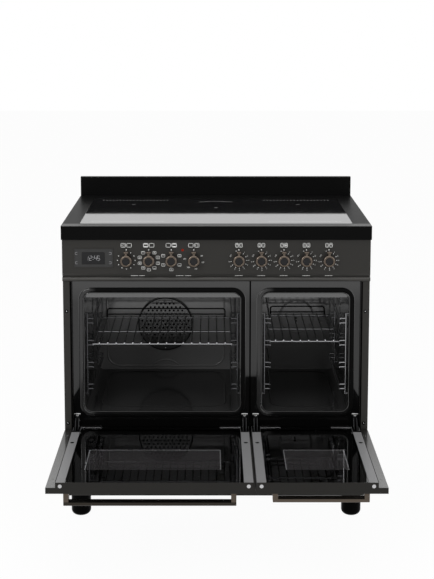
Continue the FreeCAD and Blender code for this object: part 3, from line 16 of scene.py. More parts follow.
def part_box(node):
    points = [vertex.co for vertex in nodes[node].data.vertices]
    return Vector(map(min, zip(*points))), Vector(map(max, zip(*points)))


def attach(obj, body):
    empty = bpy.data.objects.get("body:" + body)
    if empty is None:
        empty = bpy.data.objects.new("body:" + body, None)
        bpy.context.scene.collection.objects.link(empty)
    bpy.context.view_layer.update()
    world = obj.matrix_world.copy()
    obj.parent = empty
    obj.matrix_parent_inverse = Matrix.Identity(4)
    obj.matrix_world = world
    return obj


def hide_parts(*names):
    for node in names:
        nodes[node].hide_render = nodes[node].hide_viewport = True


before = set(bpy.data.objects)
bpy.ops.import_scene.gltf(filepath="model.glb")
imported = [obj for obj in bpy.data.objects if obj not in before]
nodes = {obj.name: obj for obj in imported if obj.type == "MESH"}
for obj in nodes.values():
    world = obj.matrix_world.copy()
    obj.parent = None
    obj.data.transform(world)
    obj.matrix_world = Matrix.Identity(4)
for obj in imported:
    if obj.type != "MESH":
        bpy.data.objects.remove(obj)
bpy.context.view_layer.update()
scene = bpy.context.scene
mm = 0.001

# %% [markdown]
# ## Where the main surfaces are
#
# Everything that is added sits on a surface of the model, so those surfaces are read from the model
# once. A print on the control panel then stays on the panel if the panel moves.

# %% Read the main surfaces
def low(node):
    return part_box(node)[0]


def high(node):
    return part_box(node)[1]


panel_front = low("control_panel").y
plate_front = low("oven_front_plates").y
plate_back = high("oven_front_plates").y
stile_front = low("front_stiles").y
worktop_front = low("worktop").y
worktop_top = high("worktop").z
hob_top = high("hob_glass").z
body_back = high("back_panel").y
knob_places = [(low(f"knob_{i}").x + high(f"knob_{i}").x) / 2 for i in range(1, 10)]
knob_height = 0.7935
print("panel front", round(panel_front, 4), "plate front", round(plate_front, 4), "top", round(worktop_top, 4))

# %% [markdown]
# ## Camera
#
# A product picture like this one is taken from far away with a long lens, a little above the worktop,
# so that the hob, the panel and the open doors all show. Tilting the camera down makes upright edges
# lean together. A view camera shifts its lens instead, and here a little of both is used: seven degrees
# of tilt and a moderate shift.

# %% Place the camera
def place_camera(position, tilt, lens, shift):
    data = bpy.data.cameras.new("studio_camera")
    data.lens, data.sensor_width = lens, 36.0
    data.shift_x, data.shift_y = shift
    camera = bpy.data.objects.new("studio_camera", data)
    camera.location = position
    camera.rotation_euler = (radians(90.0 - tilt), 0.0, 0.0)
    scene.collection.objects.link(camera)
    scene.camera = camera
    return camera


camera = place_camera((-0.0151, -3.6916, 1.5428), tilt=7.291, lens=79.41, shift=(0.0102, -0.22))
print("camera at", tuple(round(v, 3) for v in camera.location), "lens", round(camera.data.lens, 1))

# %% [markdown]
# ## Formulas for materials and for Geometry Nodes
#
# A node tree can be written like arithmetic. The class below wraps one socket, so that a sum or a
# product of two wrapped sockets adds the Math node that works it out. Its method `node` makes any
# other node from a type, its settings and the values or links of its inputs. The same class serves
# shader trees and geometry trees, because both use the same Math node.

# %% Wrap sockets so that they add up
class Signal:
    """One output socket of a node tree, which can be used in Python arithmetic."""

    def __init__(self, tree, socket=None):
        self.tree, self.socket = tree, socket

    def node(self, kind, settings=None, sockets=None, out=0):
        made = self.tree.nodes.new(kind)
        for name, value in (settings or {}).items():
            setattr(made, name, value)
        for key, value in (sockets or {}).items():
            if isinstance(value, Signal):
                self.tree.links.new(value.socket, made.inputs[key])
            else:
                made.inputs[key].default_value = value
        return Signal(self.tree, made.outputs[out] if len(made.outputs) else None)

    def maths(self, operation, *values):
        return self.node("ShaderNodeMath", {"operation": operation}, dict(enumerate(values)))

    def xyz(self, **parts):
        return self.node("ShaderNodeCombineXYZ", {}, parts)

    def __add__(self, other): return self.maths("ADD", self, other)
    def __radd__(self, other): return self.maths("ADD", other, self)
    def __sub__(self, other): return self.maths("SUBTRACT", self, other)
    def __rsub__(self, other): return self.maths("SUBTRACT", other, self)
    def __mul__(self, other): return self.maths("MULTIPLY", self, other)
    def __rmul__(self, other): return self.maths("MULTIPLY", other, self)
    def __truediv__(self, other): return self.maths("DIVIDE", self, other)
    def __lt__(self, other): return self.maths("LESS_THAN", self, other)


def linear(level):
    """Light levels of a colour read off a screen (0 to 255): one number for a grey, or three."""
    levels = level if isinstance(level, tuple) else (level,) * 3
    return tuple(v / 255 / 12.92 if v <= 10 else ((v / 255 + 0.055) / 1.055) ** 2.4 for v in levels)


print("mid grey", [round(v, 3) for v in linear(128)])

# %% [markdown]
# ## Studio
#
# A cut-out picture has nothing behind the object but white. White light from everywhere would wash the
# cooker out, so the world has two strengths: full white for what the camera sees and for what gloss
# and glass mirror, and a softer light for everything else. Light Path tells the two apart.

# %% Paint the world
WHITE = (1.0, 1.0, 1.0, 1.0)


def seen_or_mirrored(start):
    """1 for rays from the camera, from gloss and through glass, and 0 for the light that falls on things."""
    rays = start.node("ShaderNodeLightPath")
    names = {socket.name: Signal(start.tree, socket) for socket in rays.socket.node.outputs}
    seen = names["Is Camera Ray"] + names["Is Glossy Ray"] + names["Is Transmission Ray"]
    return start.maths("MINIMUM", seen, 1.0)


world = bpy.data.worlds.new("white_studio")
scene.world = world
world.use_nodes = True
world.node_tree.nodes.clear()
sky = Signal(world.node_tree)
soft_level = 0.42
level = soft_level + seen_or_mirrored(sky) * (1.0 - soft_level)
glow = sky.node("ShaderNodeBackground", {}, {"Color": WHITE, "Strength": level})
sky.node("ShaderNodeOutputWorld", {}, {"Surface": glow})
scene.view_settings.view_transform = "Standard"
print("world level for shaded sides", soft_level)

# %% [markdown]
# The floor is a pale sheet that runs far past the picture. To the camera it is mostly as white as the
# world, with enough plain paint mixed in to keep the cooker's soft shadow.

# %% Lay the floor
def lay_floor(reach, whiteness, level=-0.5 * mm):
    corners = [(-reach, -reach, level), (reach, -reach, level), (reach, reach, level), (-reach, reach, level)]
    mesh = bpy.data.meshes.new("studio_floor")
    mesh.from_pydata(corners, [], [(0, 1, 2, 3)])
    paint = bpy.data.materials.new("studio_white")
    paint.use_nodes = True
    paint.node_tree.nodes.clear()
    start = Signal(paint.node_tree)
    matt = start.node("ShaderNodeBsdfDiffuse", {}, {"Color": (0.9, 0.9, 0.9, 1.0)})
    glow = start.node("ShaderNodeEmission", {}, {"Color": WHITE, "Strength": 1.0})
    both = start.node("ShaderNodeMixShader", {}, {0: seen_or_mirrored(start) * whiteness, 1: matt, 2: glow})
    start.node("ShaderNodeOutputMaterial", {}, {"Surface": both})
    mesh.materials.append(paint)
    floor = bpy.data.objects.new("studio_floor", mesh)
    scene.collection.objects.link(floor)
    return floor


floor = lay_floor(14.0, whiteness=0.96)
print("floor", [round(v, 1) for v in floor.dimensions])

# %% [markdown]
# Three large soft lights shape the cooker. The key light stands in front, high on the left, so that the
# knobs and handles are brighter on that side. A weaker one fills the right, and a wide one overhead
# lights the worktop and the open doors.

# %% Set up the lights
def soft_light(name, place, aim, size, watts):
    lamp = bpy.data.lights.new(name, "AREA")
    lamp.shape, lamp.size, lamp.size_y, lamp.energy = "RECTANGLE", size[0], size[1], watts
    holder = bpy.data.objects.new(name, lamp)
    holder.location = place
    holder.rotation_euler = (Vector(aim) - Vector(place)).to_track_quat("-Z", "Y").to_euler()
    scene.collection.objects.link(holder)
    return holder


lights = [
    soft_light("key_light", (-2.3, -3.0, 2.4), (-0.05, -0.1, 0.55), (1.6, 1.6), 62.0),
    soft_light("fill_light", (2.6, -2.6, 1.7), (0.0, -0.1, 0.5), (1.8, 1.8), 24.0),
    soft_light("top_light", (0.0, -0.6, 3.2), (0.0, 0.0, 0.6), (2.6, 2.0), 34.0),
]
print("lights", [(lamp.name, lamp.data.energy) for lamp in lights])

# %% [markdown]
# ## One recipe for every solid finish
#
# Each finish is a Principled shader. What differs along the surface is a colour between two close
# shades, a roughness between two values and a fine bump, driven by noise at the scale of the real
# thing: paint has a very fine orange peel, brushed metal has long thin streaks, zinc has flakes. Some
# finishes take a mask of places instead, and with it paint light, shade and sheen on to the surface.
# What is the same all over is set as a plain number. A finish also names the nodes of the model that
# wear it: they keep their shape and get the finish in their material slot.

# %% Make a finish from two shades and a pattern
dressed = set()


def finish(name, dark, light, pattern, rough, bump=0.0, bump_reach=0.2 * mm, coat=None, on="", **fixed):
    """pattern and coat are functions of the object's coordinates that give values from 0 to 1."""
    material = bpy.data.materials.new(name)
    material.use_nodes = True
    material.node_tree.nodes.clear()
    start = Signal(material.node_tree)
    place = start.node("ShaderNodeTexCoord", out=3)
    amount = pattern(place)
    shades = {0: amount, 6: (*linear(dark), 1.0), 7: (*linear(light), 1.0)}
    colour = start.node("ShaderNodeMix", {"data_type": "RGBA"}, shades, out=2)
    inputs = {"Base Color": colour, "Roughness": rough[0] + amount * (rough[1] - rough[0])}
    if bump:
        relief = {"Strength": bump, "Distance": bump_reach, "Height": amount}
        inputs["Normal"] = start.node("ShaderNodeBump", {}, relief)
    if coat:
        inputs["Coat Weight"] = coat(place)
    for key, value in fixed.items():
        inputs[key.replace("_", " ").title().replace("Ior", "IOR")] = value
    start.node("ShaderNodeOutputMaterial", {}, {"Surface": start.node("ShaderNodeBsdfPrincipled", {}, inputs)})
    material.diffuse_color = (*linear(light), 1.0)
    for node in on.split():
        nodes[node].data.materials.clear()
        nodes[node].data.materials.append(material)
        dressed.add(node)
    return material


def noise(place, scale, detail=3.0, stretch=None, roughness=0.5):
    if stretch:
        place = place.node("ShaderNodeMapping", {}, {"Vector": place, "Scale": stretch})
    sockets = {"Vector": place, "Scale": scale, "Detail": detail, "Roughness": roughness}
    return place.node("ShaderNodeTexNoise", {}, sockets)


def orange_peel(scale, broad=6.0):
    """Fine peel with faint broad clouds, as sprayed paint has."""
    return lambda place: noise(place, scale, 2.0) * 0.7 + noise(place, broad, 2.0) * 0.3


def brushed(scale, stretch):
    """Long thin streaks, as brushing leaves in metal."""
    return lambda place: noise(place, scale, 4.0, stretch, 0.65)


def along(place, axis):
    """X (0), Y (1) or Z (2) of the point."""
    return place.node("ShaderNodeSeparateXYZ", {}, {0: place}, out=axis)


def ramp(value, start, end):
    """0 below the start, 1 above the end, and even steps between them."""
    share = (value - start) / (end - start)
    return share.maths("MINIMUM", share.maths("MAXIMUM", share, 0.0), 1.0)


def rise(place, start, end, axis=2):
    return ramp(along(place, axis), start, end)


print("recipe ready")

# %% [markdown]
# ## Where sheen, light and shade are painted
#
# These functions paint by place. Most of them weight a clear coat and so add a painted sheen: on the
# thin folded edges of an open door, which face up and shine most near the front; on the upper half of
# the oven walls; on the front plates above the level where the reflection of an open door ends; on the
# top of the worktop's rolled front edge; and on the seals at the left side of each oven. The oven
# enamel is painted light on the back walls, and dark on the floors, the side walls and the wall behind
# the fan cover, as painted light and shade. Each of these functions is 0 where nothing is painted and 1
# where it is full.

# %% Map the painted sheen, light and shade
fan_middle = (-0.1637, 0.491)
fan_area = 0.0080


# Painted shade: this piece of wall lies in the shade of the fan cover, so its colour and sheen are kept dark.
def behind_fan(place):
    """1 on the piece of back wall that the fan cover hides, and 0 elsewhere."""
    across, up = along(place, 0) - fan_middle[0], along(place, 2) - fan_middle[1]
    return (across * across + up * up < fan_area) * rise(place, 0.3832, 0.3834, axis=1)


def baked(place):
    """Painted light and shade: nearly 1 on the back walls, 0 on the floors, side walls and behind the fan."""
    return rise(place, 0.380, 0.383, axis=1) * (1.0 - behind_fan(place)) * 0.9 + noise(place, 420, 2.0) * 0.1


# Painted sheen on the upturned folds of the open doors, strongest near the front.
def on_folds(place):
    folds = rise(place, 0.2866, 0.2868) * rise(place, -0.5208, -0.5204, axis=1)
    return folds * (1.0 - rise(place, -0.48, -0.10, axis=1) * 0.62)


# Painted sheen: a clear coat on the upper half of the oven walls, left out behind the fan cover.
def on_upper_walls(place):
    return rise(place, 0.40, 0.65) * (1.0 - behind_fan(place))


# Painted reflection: a clear coat on the front plates above the level where the reflection of the open doors ends,
# and more near the top.
def above_mirror(place):
    """The mirror picture of the open doors ends lower near the stiles than in the middle."""
    aside = place.maths("MAXIMUM", place.maths("ABSOLUTE", along(place, 0)) - 0.382, 0.0)
    return ramp(along(place, 2) + aside * 1.6, 0.4395, 0.4455) * 0.5 + rise(place, 0.66, 0.715) * 0.25


# Painted sheen on the top of the worktop's rolled front edge.
def on_front_edge(place):
    return rise(place, 0.8945, 0.8949) * (1.0 - rise(place, -0.0370, -0.0365, axis=1))


# Painted sheen: a clear coat on the seals at the left side of each oven, so that a highlight shows at the upper left
# corner.
def left_of_ovens(place):
    across = along(place, 0)
    return 1.0 - ramp(across, -0.376, -0.350) + ramp(across, 0.110, 0.112) * (1.0 - ramp(across, 0.144, 0.170))


print("fan cover in the middle of", fan_middle)

# %% [markdown]
# ## Paint and enamel
#
# The body is sprayed in a warm anthracite with a satin sheen. The moulding under the panel wears a
# lighter copy of it, as painted light, and the doors a darker copy, as painted shade. The worktop is a
# flat black that hardly mirrors anything when seen from straight ahead, so its index of refraction is
# set low. The front plates and the ovens carry vitreous enamel, which is glass melted on to steel:
# almost black and smooth. Its clear coat of a high index is laid on by place, as a painted reflection of
# the pale floor, and the back walls of the ovens are painted light.

# %% Mix the paints and the enamel
anthracite = finish("satin_anthracite", (42, 41, 39), (50, 49, 47), orange_peel(900), (0.36, 0.46), bump=0.10,
                    metallic=0.35, ior=1.3, on="side_panels front_stiles kick_panel control_panel")
# The moulding wears a lighter copy of the body's anthracite: painted light.
finish("trim_anthracite", (60, 59, 57), (68, 67, 65), orange_peel(900), (0.30, 0.40), bump=0.10, metallic=0.35,
       ior=1.3, on="trim_moulding")
finish("worktop_black", 11, 15, orange_peel(1300), (0.30, 0.40), bump=0.16, ior=1.08, coat=on_front_edge,
       coat_roughness=0.3, coat_ior=1.10, on="worktop rear_upstand plinth_beam fan_impeller fan_motor")
finish("vitreous_enamel", 6, 9, orange_peel(260, 9.0), (0.07, 0.13), bump=0.03, ior=1.12, coat=above_mirror,
       coat_roughness=0.10, coat_ior=1.85, on="oven_front_plates")
lip_enamel = finish("rolled_enamel", 6, 9, orange_peel(260, 9.0), (0.07, 0.13), bump=0.03, ior=1.7)
# One enamel, painted light on the back walls and painted shade on the floors, the sides and behind the fan.
oven_enamel = finish("oven_enamel", 24, 102, baked, (0.11, 0.13), ior=1.3, coat=on_upper_walls, coat_roughness=0.10,
                     coat_ior=2.0, on="oven_cavity_left oven_cavity_right fan_cover")
# The doors wear a darker copy of the body's anthracite: painted shade, with painted sheen on their folds.
finish("door_anthracite", (32, 31, 29), (40, 39, 37), orange_peel(900), (0.34, 0.44), bump=0.08, metallic=0.35,
       ior=1.28, coat=on_folds, coat_roughness=0.12, coat_ior=1.72, on="door_panel_left door_panel_right")
print("paints and enamels on", len(dressed), "nodes")

# %% [markdown]
# ## Metals
#
# Bronze-grey anodising on the handles and knobs shows fine streaks along the bar, and the left bar is
# painted darker below, where it turns from the light. The shelf wires are chrome: the long wires on top
# are painted dark, a painted reflection of the dark oven mirrored in them, and the rods that carry them
# light. The side racks are chrome too, darker in the left oven and lighter towards the right. The door
# rails are a grey coated steel. The hidden casing is zinc-coated sheet, whose crystals show as flakes of
# slightly different grey: a Voronoi pattern gives each flake one shade.

# %% Prepare the metals
def zinc_flakes(place):
    cells = place.node("ShaderNodeTexVoronoi", {"feature": "F1"}, {"Vector": place, "Scale": 55.0}, out=1)
    return place.node("ShaderNodeSeparateColor", {}, {0: cells}) * 0.75 + noise(place, 300, 2.0) * 0.25


# Painted reflection: the long wires get a dark colour for the dark oven mirrored in them, the rods a light one.
def dark_wires(place):
    """0 on the long wires on top of a shelf and nearly 1 on the rods that carry them."""
    return (1.0 - rise(place, 0.5399, 0.5403)) * (0.85 + noise(place, 500, 2.0) * 0.15)


def shaded_bar(place):
    """0 on the bar of a handle and nearly 1 on the posts above it."""
    return rise(place, 0.2385, 0.2400) * (0.5 + noise(place, 60, 4.0, (3.0, 60.0, 60.0), 0.65) * 0.5)


finish("bronze_anodised", (78, 70, 62), (93, 84, 75), brushed(60, (3.0, 60.0, 60.0)), (0.28, 0.38), bump=0.08,
       metallic=0.9, on="door_handle_right")
knob_bronze = finish("knob_bronze", (86, 77, 69), (99, 89, 80), orange_peel(1500), (0.12, 0.20), bump=0.04,
                     metallic=0.9, on=" ".join(f"knob_{i}" for i in range(1, 10)))
finish("bronze_in_shade", (50, 46, 41), (93, 84, 75), shaded_bar, (0.28, 0.38), metallic=0.9, on="door_handle_left")
# The racks' chrome grows lighter from the left oven towards the right side of the right oven.
finish("chromed_wire", (78, 78, 80), (150, 150, 152), lambda place: rise(place, 0.05, 0.40, axis=0), (0.18, 0.10),
       metallic=1.0, on="side_racks")
finish("chromed_shelf", (24, 24, 25), (138, 138, 140), dark_wires, (0.20, 0.10), metallic=1.0,
       on="shelf_left shelf_right")
bright_steel = finish("bright_steel", (175, 175, 177), (205, 205, 206), brushed(90, (60.0, 60.0, 3.0)), (0.16, 0.28),
                      bump=0.06, metallic=1.0, on="door_fittings_left door_fittings_right")
finish("arm_steel", (26, 26, 27), (38, 38, 39), brushed(90, (60.0, 3.0, 60.0)), (0.34, 0.46), bump=0.08,
       metallic=0.9, on="hinge_arms hinge_receivers")
finish("rail_coating", (124, 124, 125), (136, 136, 137), orange_peel(1100), (0.34, 0.44), bump=0.10, metallic=0.15,
       ior=1.3, on="door_rails_left door_rails_right")
zinc = finish("zinc_coated_sheet", (150, 152, 155), (182, 184, 186), zinc_flakes, (0.34, 0.5), bump=0.05,
              metallic=0.85, on="base_pan back_panel hob_tray cooling_fan cooling_rotor terminal_box")
finish("heater_sheath", (34, 32, 30), (50, 47, 43), orange_peel(260), (0.45, 0.6), bump=0.15, metallic=0.8,
       on="heating_elements ring_heater")
print("with metals", len(dressed), "nodes")

# %% [markdown]
# ## Glass
#
# The hob is opaque black ceramic glass. Each oven door has two panes: the inner one is coated so that
# it mirrors the oven above it, and the outer one closes the window and is tinted. Real panes are
# see-through, so both are Principled shaders with full transmission and a dark tint.

# %% Melt the glasses
def fine_dust(scale):
    """Almost nothing: faint clouds that keep a polished face from looking computed."""
    return lambda place: noise(place, scale, 3.0, None, 0.6)


finish("hob_glass", (22, 22, 23), (26, 26, 27), fine_dust(7.0), (0.035, 0.06), ior=1.5, coat_weight=0.32,
       coat_roughness=0.03, on="hob_glass")
finish("bezel_glass", 52, 57, fine_dust(40.0), (0.16, 0.24), ior=1.25, on="display_window")
screen_glass = finish("screen_glass", (30, 30, 31), (34, 34, 35), fine_dust(40.0), (0.10, 0.16), ior=1.24)
finish("window_glass", (164, 162, 162), (172, 170, 170), fine_dust(5.0), (0.02, 0.04), ior=1.5,
       transmission_weight=1.0, on="door_window_left door_window_right")
finish("coated_glass", (190, 190, 192), (198, 198, 200), fine_dust(5.0), (0.01, 0.02), ior=1.45,
       transmission_weight=1.0, on="door_inner_glass_left door_inner_glass_right")
finish("lamp_glass", (205, 204, 198), (225, 224, 220), fine_dust(60.0), (0.18, 0.30), ior=1.5,
       transmission_weight=0.6, on="oven_lamps")
finish("red_lens", (112, 18, 5), (130, 26, 8), fine_dust(500.0), (0.2, 0.3), ior=1.2,
       emission_color=(0.5, 0.05, 0.01, 1.0), emission_strength=0.06, on="pilot_lamp")
print("with glass", len(dressed), "nodes")

# %% [markdown]
# ## Rubber, plastic, wool and print
#
# The rest of the cooker is soft or moulded. The door seals are matt silicone with a painted sheen: a
# clear coat on the left side of each oven, so that a highlight shows at its upper left corner. The feet
# are smooth black plastic, and the ovens are wrapped in mineral wool, whose fibres run in all
# directions. The marks on the panel are printed in a light grey ink, and those on the hob in a darker one
# under the shine of the glass.

# %% Finish the soft and moulded parts
def fibres(place):
    return noise(place, 90, 6.0, (1.0, 1.0, 6.0), 0.75) * 0.6 + noise(place, 400, 3.0) * 0.4


def windings(place):
    rings = place.node("ShaderNodeTexWave", {"wave_type": "BANDS", "bands_direction": "DIAGONAL"},
                       {"Vector": place, "Scale": 120.0, "Distortion": 1.5, "Detail": 2.0})
    return rings * 0.8 + noise(place, 700, 2.0) * 0.2


silicone = finish("seal_silicone", 4, 7, orange_peel(700), (0.30, 0.42), bump=0.15, ior=1.13, coat=left_of_ovens,
                  coat_roughness=0.12, coat_ior=1.55, on="door_seals")
finish("foot_plastic", 5, 8, orange_peel(600), (0.16, 0.24), bump=0.06, ior=1.08, on="feet cable_gland")
finish("switch_plastic", (44, 44, 46), (56, 56, 58), orange_peel(800), (0.45, 0.55), bump=0.1,
       on="control_switches timer_module")
finish("mineral_wool", (150, 140, 108), (196, 186, 150), fibres, (0.85, 0.95), bump=0.8, bump_reach=1.0 * mm,
       on="insulation_wraps")
finish("litz_winding", (150, 82, 44), (205, 128, 82), windings, (0.35, 0.5), bump=0.5, metallic=0.9,
       on="induction_coils")
finish("circuit_board", (12, 62, 34), (20, 92, 52), fine_dust(140.0), (0.35, 0.5), bump=0.1, on="power_board")
ink = finish("panel_ink", (226, 226, 224), (240, 240, 238), orange_peel(1500), (0.5, 0.6))
glass_ink = finish("hob_ink", 160, 176, orange_peel(1500), (0.04, 0.07), ior=1.5, coat_weight=0.45,
                   coat_roughness=0.03)
touch_ink = finish("touch_ink", (120, 120, 122), (134, 134, 136), orange_peel(1500), (0.4, 0.5))
knob_face = finish("knob_cap_black", (22, 22, 23), (28, 28, 29), orange_peel(1200), (0.22, 0.30), bump=0.05, ior=1.3)
clock_light = finish("clock_segments", (172, 172, 175), (186, 186, 189), fine_dust(900.0), (0.4, 0.5),
                     emission_color=(0.35, 0.35, 0.36, 1.0), emission_strength=0.35)
# This black is the print and rubber strip on the panes, and painted shade in countersinks, gaps, slots and holes.
print_and_shade_black = finish("pane_print", 2, 4, fine_dust(60.0), (0.4, 0.5), ior=1.03)
film = finish("heat_film", (86, 83, 83), (93, 90, 90), fine_dust(9.0), (0.35, 0.45), ior=1.3)
silver_line = finish("silver_line", 236, 246, fine_dust(300.0), (0.3, 0.4))
wire_tip = finish("wire_tip", (176, 176, 178), (206, 206, 208), fine_dust(600.0), (0.14, 0.22), metallic=0.8)
print("dressed", len(dressed), "undressed", sorted(set(nodes) - dressed))

# %% [markdown]
# ## Tools for new pieces
#
# A new piece is a mesh at the origin with its place in its points, and it rides on one body of the
# cooker. Faces that meet at a wide angle are shaded smooth, and edges sharper than about 35 degrees
# stay crisp.

# %% Turn a mesh into a piece
def plain(build, name):
    """Close a mesh that was being built, and return it as plain data."""
    mesh = bpy.data.meshes.new(name)
    build.to_mesh(mesh)
    build.free()
    return mesh


def add_piece(name, mesh, material, body, replaces=(), smooth=35.0):
    """Dress a mesh, or a list of meshes that become one, and let it ride on a body."""
    if isinstance(mesh, list):
        build = bmesh.new()
        for part in mesh:
            build.from_mesh(part)
        mesh = plain(build, name)
    elif isinstance(mesh, bmesh.types.BMesh):
        mesh = plain(mesh, name)
    mesh.materials.clear()
    mesh.materials.append(material)
    if smooth:
        mesh.shade_smooth()
        mesh.set_sharp_from_angle(angle=radians(smooth))
    thing = bpy.data.objects.new(name, mesh)
    scene.collection.objects.link(thing)
    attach(thing, body)
    if replaces:
        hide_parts(*replaces)
    return thing


def rounded_block(build, low_corner, high_corner, radius, segments=2):
    """A box with round edges, added to a mesh that is being built."""
    made = bmesh.ops.create_cube(build, size=1.0)["verts"]
    size = [b - a for a, b in zip(low_corner, high_corner)]
    middle = [(a + b) / 2 for a, b in zip(low_corner, high_corner)]
    bmesh.ops.scale(build, vec=size, verts=made)
    bmesh.ops.translate(build, vec=middle, verts=made)
    edges = list({edge for vert in made for edge in vert.link_edges})
    bmesh.ops.bevel(build, geom=edges, offset=radius, segments=segments, affect="EDGES", profile=0.5)


def around(x, z, radius, degrees):
    """A point on an upright circle, at an angle clockwise from the top."""
    return x + radius * sin(radians(degrees)), z + radius * cos(radians(degrees))


def round_outline(a0, a1, b0, b1, radius, steps=6):
    """Points of a rectangle with round corners, in two numbers each."""
    corners = ((a1 - radius, b1 - radius, 0), (a1 - radius, b0 + radius, 90),
               (a0 + radius, b0 + radius, 180), (a0 + radius, b1 - radius, 270))
    return [around(a, b, radius, start + 90 * step / steps) for a, b, start in corners for step in range(steps + 1)]


def turned(build, centre, outline, steps=48):
    """A shape turned about a line along Y. outline is a list of (radius, y) from one end to the other."""
    rings = []
    for radius, y in outline:
        spots = [around(*centre, radius, 360 * i / steps) for i in range(steps)] if radius else [centre]
        rings.append([build.verts.new((x, y, z)) for x, z in spots])
    for a, b in zip(rings, rings[1:]):
        for i in range(steps):
            j = (i + 1) % steps
            if len(a) == 1:
                build.faces.new((a[0], b[i], b[j]))
            elif len(b) == 1:
                build.faces.new((a[i], b[0], a[j]))
            else:
                build.faces.new((a[i], b[i], b[j], a[j]))
    bmesh.ops.recalc_face_normals(build, faces=build.faces)


print("tools ready")

# %% [markdown]
# ## Knobs
#
# Each knob is a wide bronze ring with a domed face, a dark cap sunk in its middle, and a T above it
# that points at the dial. The ring and the cap are shapes of revolution, so an outline is turned about
# the spindle. The T is two small blocks with round edges. The nine knobs turn on their own spindles,
# so each is its own piece.

# %% Turn the knobs
skirt = [(0.0, 0.0), (15.6, 0.0), (16.6, -0.8), (17.2, -8.0)]
face = [(17.5, 4.6), (17.3, 3.0), (16.9, 1.7), (16.2, 0.8), (15.3, 0.25), (14.4, 0.0), (11.9, 0.0), (11.3, 0.3),
        (11.05, 1.2), (11.0, 3.0), (0.0, 3.0)]
cap = [(0.0, 2.9), (10.95, 2.9), (10.95, 1.9), (10.5, 1.5), (9.0, 1.3), (5.0, 1.45), (0.0, 1.5)]
spindle = [(0.0, -0.2), (3.0, -0.2), (3.0, 18.0), (0.0, 18.0)]


def from_plane(y, outline):
    """An outline in millimetres behind a plane, as radii and places in metres."""
    return [(radius * mm, y + depth * mm) for radius, depth in outline]


for number, x in enumerate(knob_places, 1):
    body, centre = f"knob_{number}_body", (x, knob_height)
    front, back = low(f"knob_{number}").y, panel_front - 0.4 * mm
    t_near, t_far, t_middle = front + 2 * mm, front + 11 * mm, knob_height + 23.2 * mm
    build = bmesh.new()
    turned(build, centre, from_plane(back, skirt) + from_plane(front, face))
    rounded_block(build, (x - 3.2 * mm, t_near, knob_height + 14 * mm), (x + 3.2 * mm, t_far, t_middle), 0.9 * mm)
    rounded_block(build, (x - 6.75 * mm, t_near, t_middle - 0.7 * mm), (x + 6.75 * mm, t_far, t_middle + 4.8 * mm),
                  1.6 * mm, 3)
    add_piece(f"knob_ring_{number}", build, knob_bronze, body, [f"knob_{number}"])
    build = bmesh.new()
    turned(build, centre, from_plane(front, cap), 40)
    add_piece(f"knob_cap_{number}", build, knob_face, body)
    build = bmesh.new()
    turned(build, centre, from_plane(back, spindle), 20)
    add_piece(f"knob_spindle_{number}", build, bright_steel, body)
print("knobs", len(knob_places), "front", round(low("knob_1").y, 4))

# %% [markdown]
# ## Geometry trees
#
# What repeats is made by Geometry Nodes: a small tree with named inputs places copies of one mark,
# screw or bead, joins them into one mesh and gives them their finish. The helper below builds the
# frame of such a tree, and `grow` runs it once and keeps the plain mesh.

# %% Build and run a geometry tree
class Plan(Signal):
    """A Geometry Nodes tree with named inputs. The first input is the geometry that it starts from."""

    def __init__(self, name, sizes):
        super().__init__(bpy.data.node_groups.new(name, "GeometryNodeTree"))
        face = self.tree.interface
        face.new_socket(name="Start", in_out="INPUT", socket_type="NodeSocketGeometry")
        self.keys = {}
        for label, kind in sizes.items():
            self.keys[label] = face.new_socket(name=label, in_out="INPUT", socket_type="NodeSocket" + kind).identifier
        face.new_socket(name="Result", in_out="OUTPUT", socket_type="NodeSocketGeometry")
        source = self.tree.nodes.new("NodeGroupInput")
        self.inputs = {socket.name: Signal(self.tree, socket) for socket in source.outputs if socket.name}

    def __getitem__(self, label):
        return self.inputs[label]

    def close(self, geometry):
        joined = self.node("GeometryNodeRealizeInstances", {}, {"Geometry": geometry})
        coloured = self.node("GeometryNodeSetMaterial", {}, {"Geometry": joined, "Material": self["Finish"]})
        self.node("NodeGroupOutput", {}, {"Result": coloured})


def grow(plan, sizes, start=None):
    """Run a plan on a starting mesh or curve and return the plain mesh that it makes."""
    start = start or bpy.data.meshes.new("start")
    seed = bpy.data.objects.new("seed", start)
    scene.collection.objects.link(seed)
    modifier = seed.modifiers.new("plan", "NODES")
    modifier.node_group = plan.tree
    for label, value in sizes.items():
        modifier[plan.keys[label]] = value
    bpy.context.view_layer.update()
    shape = seed.evaluated_get(bpy.context.evaluated_depsgraph_get())
    made = bpy.data.meshes.new_from_object(shape)
    seed.modifiers.clear()
    bpy.data.objects.remove(seed)
    return made

print("geometry trees ready")

# %% [markdown]
# ## Dial marks
#
# The marks round a knob sit at equal angles on a circle. The tree puts one point for each mark at its
# angle, clockwise from the top, and copies a thin block to it, turned to point away from the middle.
# Marks and knob share one centre.

